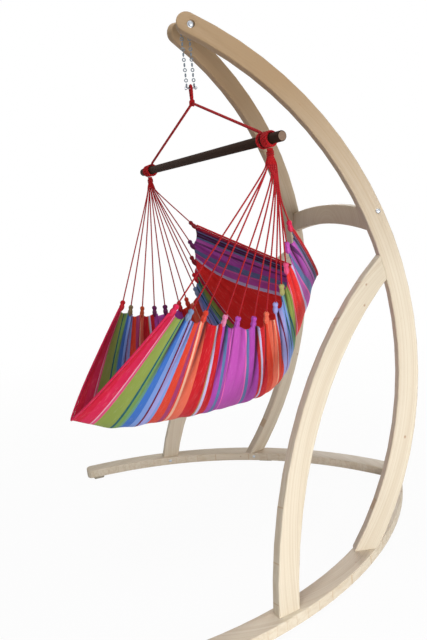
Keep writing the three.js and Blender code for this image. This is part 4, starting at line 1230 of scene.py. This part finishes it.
# material, body, slot, width of the soft edge, angles for the soft edge and for smooth shading
hardware = [
    (zincSteel, "stand", "steel", 0.0005, 50, 40,
     [*onBothSides("splice_screw", "arch_foot_screw", "strut_foot_screw", "strut_head_screw",
                   "crossbar_screw"),
      "apex_bolt", "apex_nut", *onBothSides("apex_washer"), "apex_sleeve"]),
    (padRubber, "stand", "rubber", 0.0008, 30, 35,
     [*onBothSides("foot_pad_front", "foot_pad_side"), "foot_pad_rear"]),
    (zincSteel, "chain", "steel", 0.0004, 50, 40, ["chain_pin", "chain_pin_nut"]),
]
for material, body, slot, softWidth, softAngle, smoothAngle, nodes in hardware:
    for node in nodes:
        piece = finerCopy(node)
        softenEdges(piece, softWidth, softAngle)
        finishPiece(piece, material, body, [node], smoothAngle)
print("fasteners and pads made")


# chain

chainShape = {
    "wire": 4.0,
    "pitch": 19.0,
    "bite": 1.3,
    "width": 15.6,
    "apart": 31.0,
    "links": 12,
    "sleeve": 12.0,
    "bendSegments": 28,
    "wireSegments": 12,
}


def roundLink(name, innerLength):
    # a ring of wire, pulled out to an oval: long along Y, wide along X
    bend = (chainShape["width"] - chainShape["wire"]) / 2
    straight = innerLength / 2 + chainShape["wire"] / 2 - bend
    pickNone()
    bpy.ops.mesh.primitive_torus_add(
        major_radius=bend * mm, minor_radius=chainShape["wire"] / 2 * mm,
        major_segments=chainShape["bendSegments"], minor_segments=chainShape["wireSegments"])
    link = bpy.context.object
    link.name = name
    for vertex in link.data.vertices:
        vertex.select = vertex.co.y > -1e-7
    setMode("EDIT")
    bpy.ops.transform.translate(value=(0, 2 * straight * mm, 0))
    bpy.ops.mesh.select_all(action="SELECT")
    bpy.ops.transform.translate(value=(0, -straight * mm, 0))
    setMode("OBJECT")
    keepPlaceInMesh(link)
    return link


def placedLink(source, centre, alongWay, wideWay):
    link = source.copy()
    link.data = source.data.copy()
    intoScene(link)
    deep = Vector(wideWay).cross(Vector(alongWay))
    turn = Matrix((wideWay, alongWay, deep)).transposed().to_4x4()
    link.data.transform(Matrix.Translation(hangPoint + Vector(centre) * mm) @ turn)
    return link


flatLinkHeight = chainShape["sleeve"] / 2 + fitGap + chainShape["wire"] / 2
linkInner = chainShape["pitch"] - chainShape["bite"]
firstLink = flatLinkHeight + chainShape["wire"] / 2 + fitGap - linkInner / 2
topLink = roundLink("chainTopLink", chainShape["apart"] - chainShape["wire"])
topLink.data.transform(Matrix.Translation(hangPoint + up * flatLinkHeight * mm))
finishPiece(topLink, chainSteel, "chain", ["chain_top_link"], 60)
pattern = roundLink("linkPattern", linkInner)
forward, sideways, upward = (0, 1, 0), (1, 0, 0), (0, 0, 1)
for side, node, name in ((-1, "chain_front", "chainFront"), (1, "chain_rear", "chainRear")):
    links = []
    for i in range(chainShape["links"]):
        centre = (0, side * chainShape["apart"] / 2, firstLink - i * chainShape["pitch"])
        links.append(placedLink(pattern, centre, upward, sideways if i % 2 else forward))
    finishPiece(joinAll(links, name), chainSteel, "chain", [node], 60)
bpy.data.objects.remove(pattern)
print("chain made")


# spreader bar

barShape = {"diameter": 34.0, "length": 1200.0, "endRound": 3.5, "sides": 64, "ringGap": 2.2}


def spreaderBar():
    pickNone()
    bpy.ops.mesh.primitive_cylinder_add(vertices=barShape["sides"],
                                        radius=barShape["diameter"] / 2 * mm,
                                        depth=barShape["length"] * mm)
    bar = bpy.context.object
    bar.name = "spreaderBar"
    half = barShape["length"] / 2 * mm
    mesh = bar.data
    for polygon in mesh.polygons:
        polygon.select = False
    for edge in mesh.edges:
        a, b = (mesh.vertices[i].co for i in edge.vertices)
        edge.select = abs(abs(a.z) - half) < 1e-6 and abs(a.z - b.z) < 1e-6
    setMode("EDIT")
    bpy.ops.mesh.select_mode(type="EDGE")
    bpy.ops.mesh.bevel(offset=barShape["endRound"] * mm, segments=4, affect="EDGES")
    bpy.ops.mesh.select_mode(type="FACE")
    bpy.ops.mesh.select_all(action="DESELECT")
    setMode("OBJECT")
    for polygon in mesh.polygons:
        polygon.select = len(polygon.vertices) > 8
    setMode("EDIT")
    for _ in range(5):  # rings on the cut ends, for the wood's year rings
        bpy.ops.mesh.inset(thickness=barShape["ringGap"] * mm, depth=0)
    setMode("OBJECT")
    setVectors(bar, "grain", [vertex.co.zxy for vertex in mesh.vertices])
    keepPlaceInMesh(bar, seatPlace @ turned(math.pi / 2, "Y"))
    return bar


finishPiece(spreaderBar(), barMaterial(), "bar", ["spreader_bar"], 30)
print("spreader bar made")


# floor, light and background

studio = {
    "floorSize": 40,
    "floorColour": (0.72, 0.72, 0.72, 1),
    "floorGlow": 0.955,
    "whiteFrom": 1.2,  # past the object's shadow the floor is plain white
    "whiteOver": 3.0,
    "skyStrength": 0.17,
    "lamps": [
        # name, place, aimed at, size, watts
        ("keyLamp", (3.6, 1.0, 0.7), (0.2, 0.1, 0.6), 1.8, 92),
        ("lowLamp", (2.6, -1.2, 0.7), (0.1, -0.1, 0.8), 1.2, 18),
        ("topLamp", (0.4, -0.6, 4.6), (0.0, 0.0, 0.6), 2.0, 62),
        ("backLamp", (-3.2, 3.0, 1.8), (0.0, 0.2, 0.9), 2.4, 75),
    ],
}


def addLamp(name, place, aim, size, watts):
    data = bpy.data.lights.new(name, "AREA")
    data.size = size
    data.energy = watts
    lamp = bpy.data.objects.new(name, data)
    lamp.location = place
    lamp.rotation_euler = (Vector(aim) - Vector(place)).to_track_quat("-Z", "Y").to_euler()
    intoScene(lamp)


def whiteForView(tree):
    # 1 where the camera, a mirror or glass sees it
    path = tree.nodes.new("ShaderNodeLightPath")
    seen = path.outputs["Is Camera Ray"]
    for ray in ("Is Glossy Ray", "Is Transmission Ray"):
        larger = tree.nodes.new("ShaderNodeMath")
        larger.operation = "MAXIMUM"
        tree.links.new(seen, larger.inputs[0])
        tree.links.new(path.outputs[ray], larger.inputs[1])
        seen = larger.outputs[0]
    return seen


def addFloor():
    pickNone()
    bpy.ops.mesh.primitive_plane_add(size=studio["floorSize"], location=(0, 0, 0))
    floor = bpy.context.object
    floor.name = "floor"
    look = Look("paleFloor")
    look.set(colour=studio["floorColour"], roughness=0.9)
    tree = look.tree
    glow = tree.nodes.new("ShaderNodeEmission")
    share = tree.nodes.new("ShaderNodeMixShader")
    x, y, _ = look.parts(look.objectPlace())
    far = (((x * x + y * y) ** 0.5 - studio["whiteFrom"]) / studio["whiteOver"]).clamped()
    level = far * (1 - studio["floorGlow"]) + studio["floorGlow"]
    seen = Value(look, whiteForView(tree))
    tree.links.new((seen * level).socket, share.inputs[0])
    tree.links.new(look.shader.outputs[0], share.inputs[1])
    tree.links.new(glow.outputs[0], share.inputs[2])
    tree.links.new(share.outputs[0], look.output.inputs[0])
    floor.data.materials.append(look.material)


def addSky():
    world = bpy.data.worlds.new("whiteRoom")
    world.use_nodes = True
    bpy.context.scene.world = world
    tree = world.node_tree
    background = tree.nodes["Background"]
    background.inputs["Color"].default_value = (1, 1, 1, 1)
    seen = whiteForView(tree)
    level = tree.nodes.new("ShaderNodeMapRange")
    level.inputs["To Min"].default_value = studio["skyStrength"]
    level.inputs["To Max"].default_value = 1.0
    tree.links.new(seen, level.inputs["Value"])
    tree.links.new(level.outputs[0], background.inputs["Strength"])


addFloor()
addSky()
for lamp in studio["lamps"]:
    addLamp(*lamp)
bpy.context.scene.view_settings.view_transform = "Standard"
print("studio made")
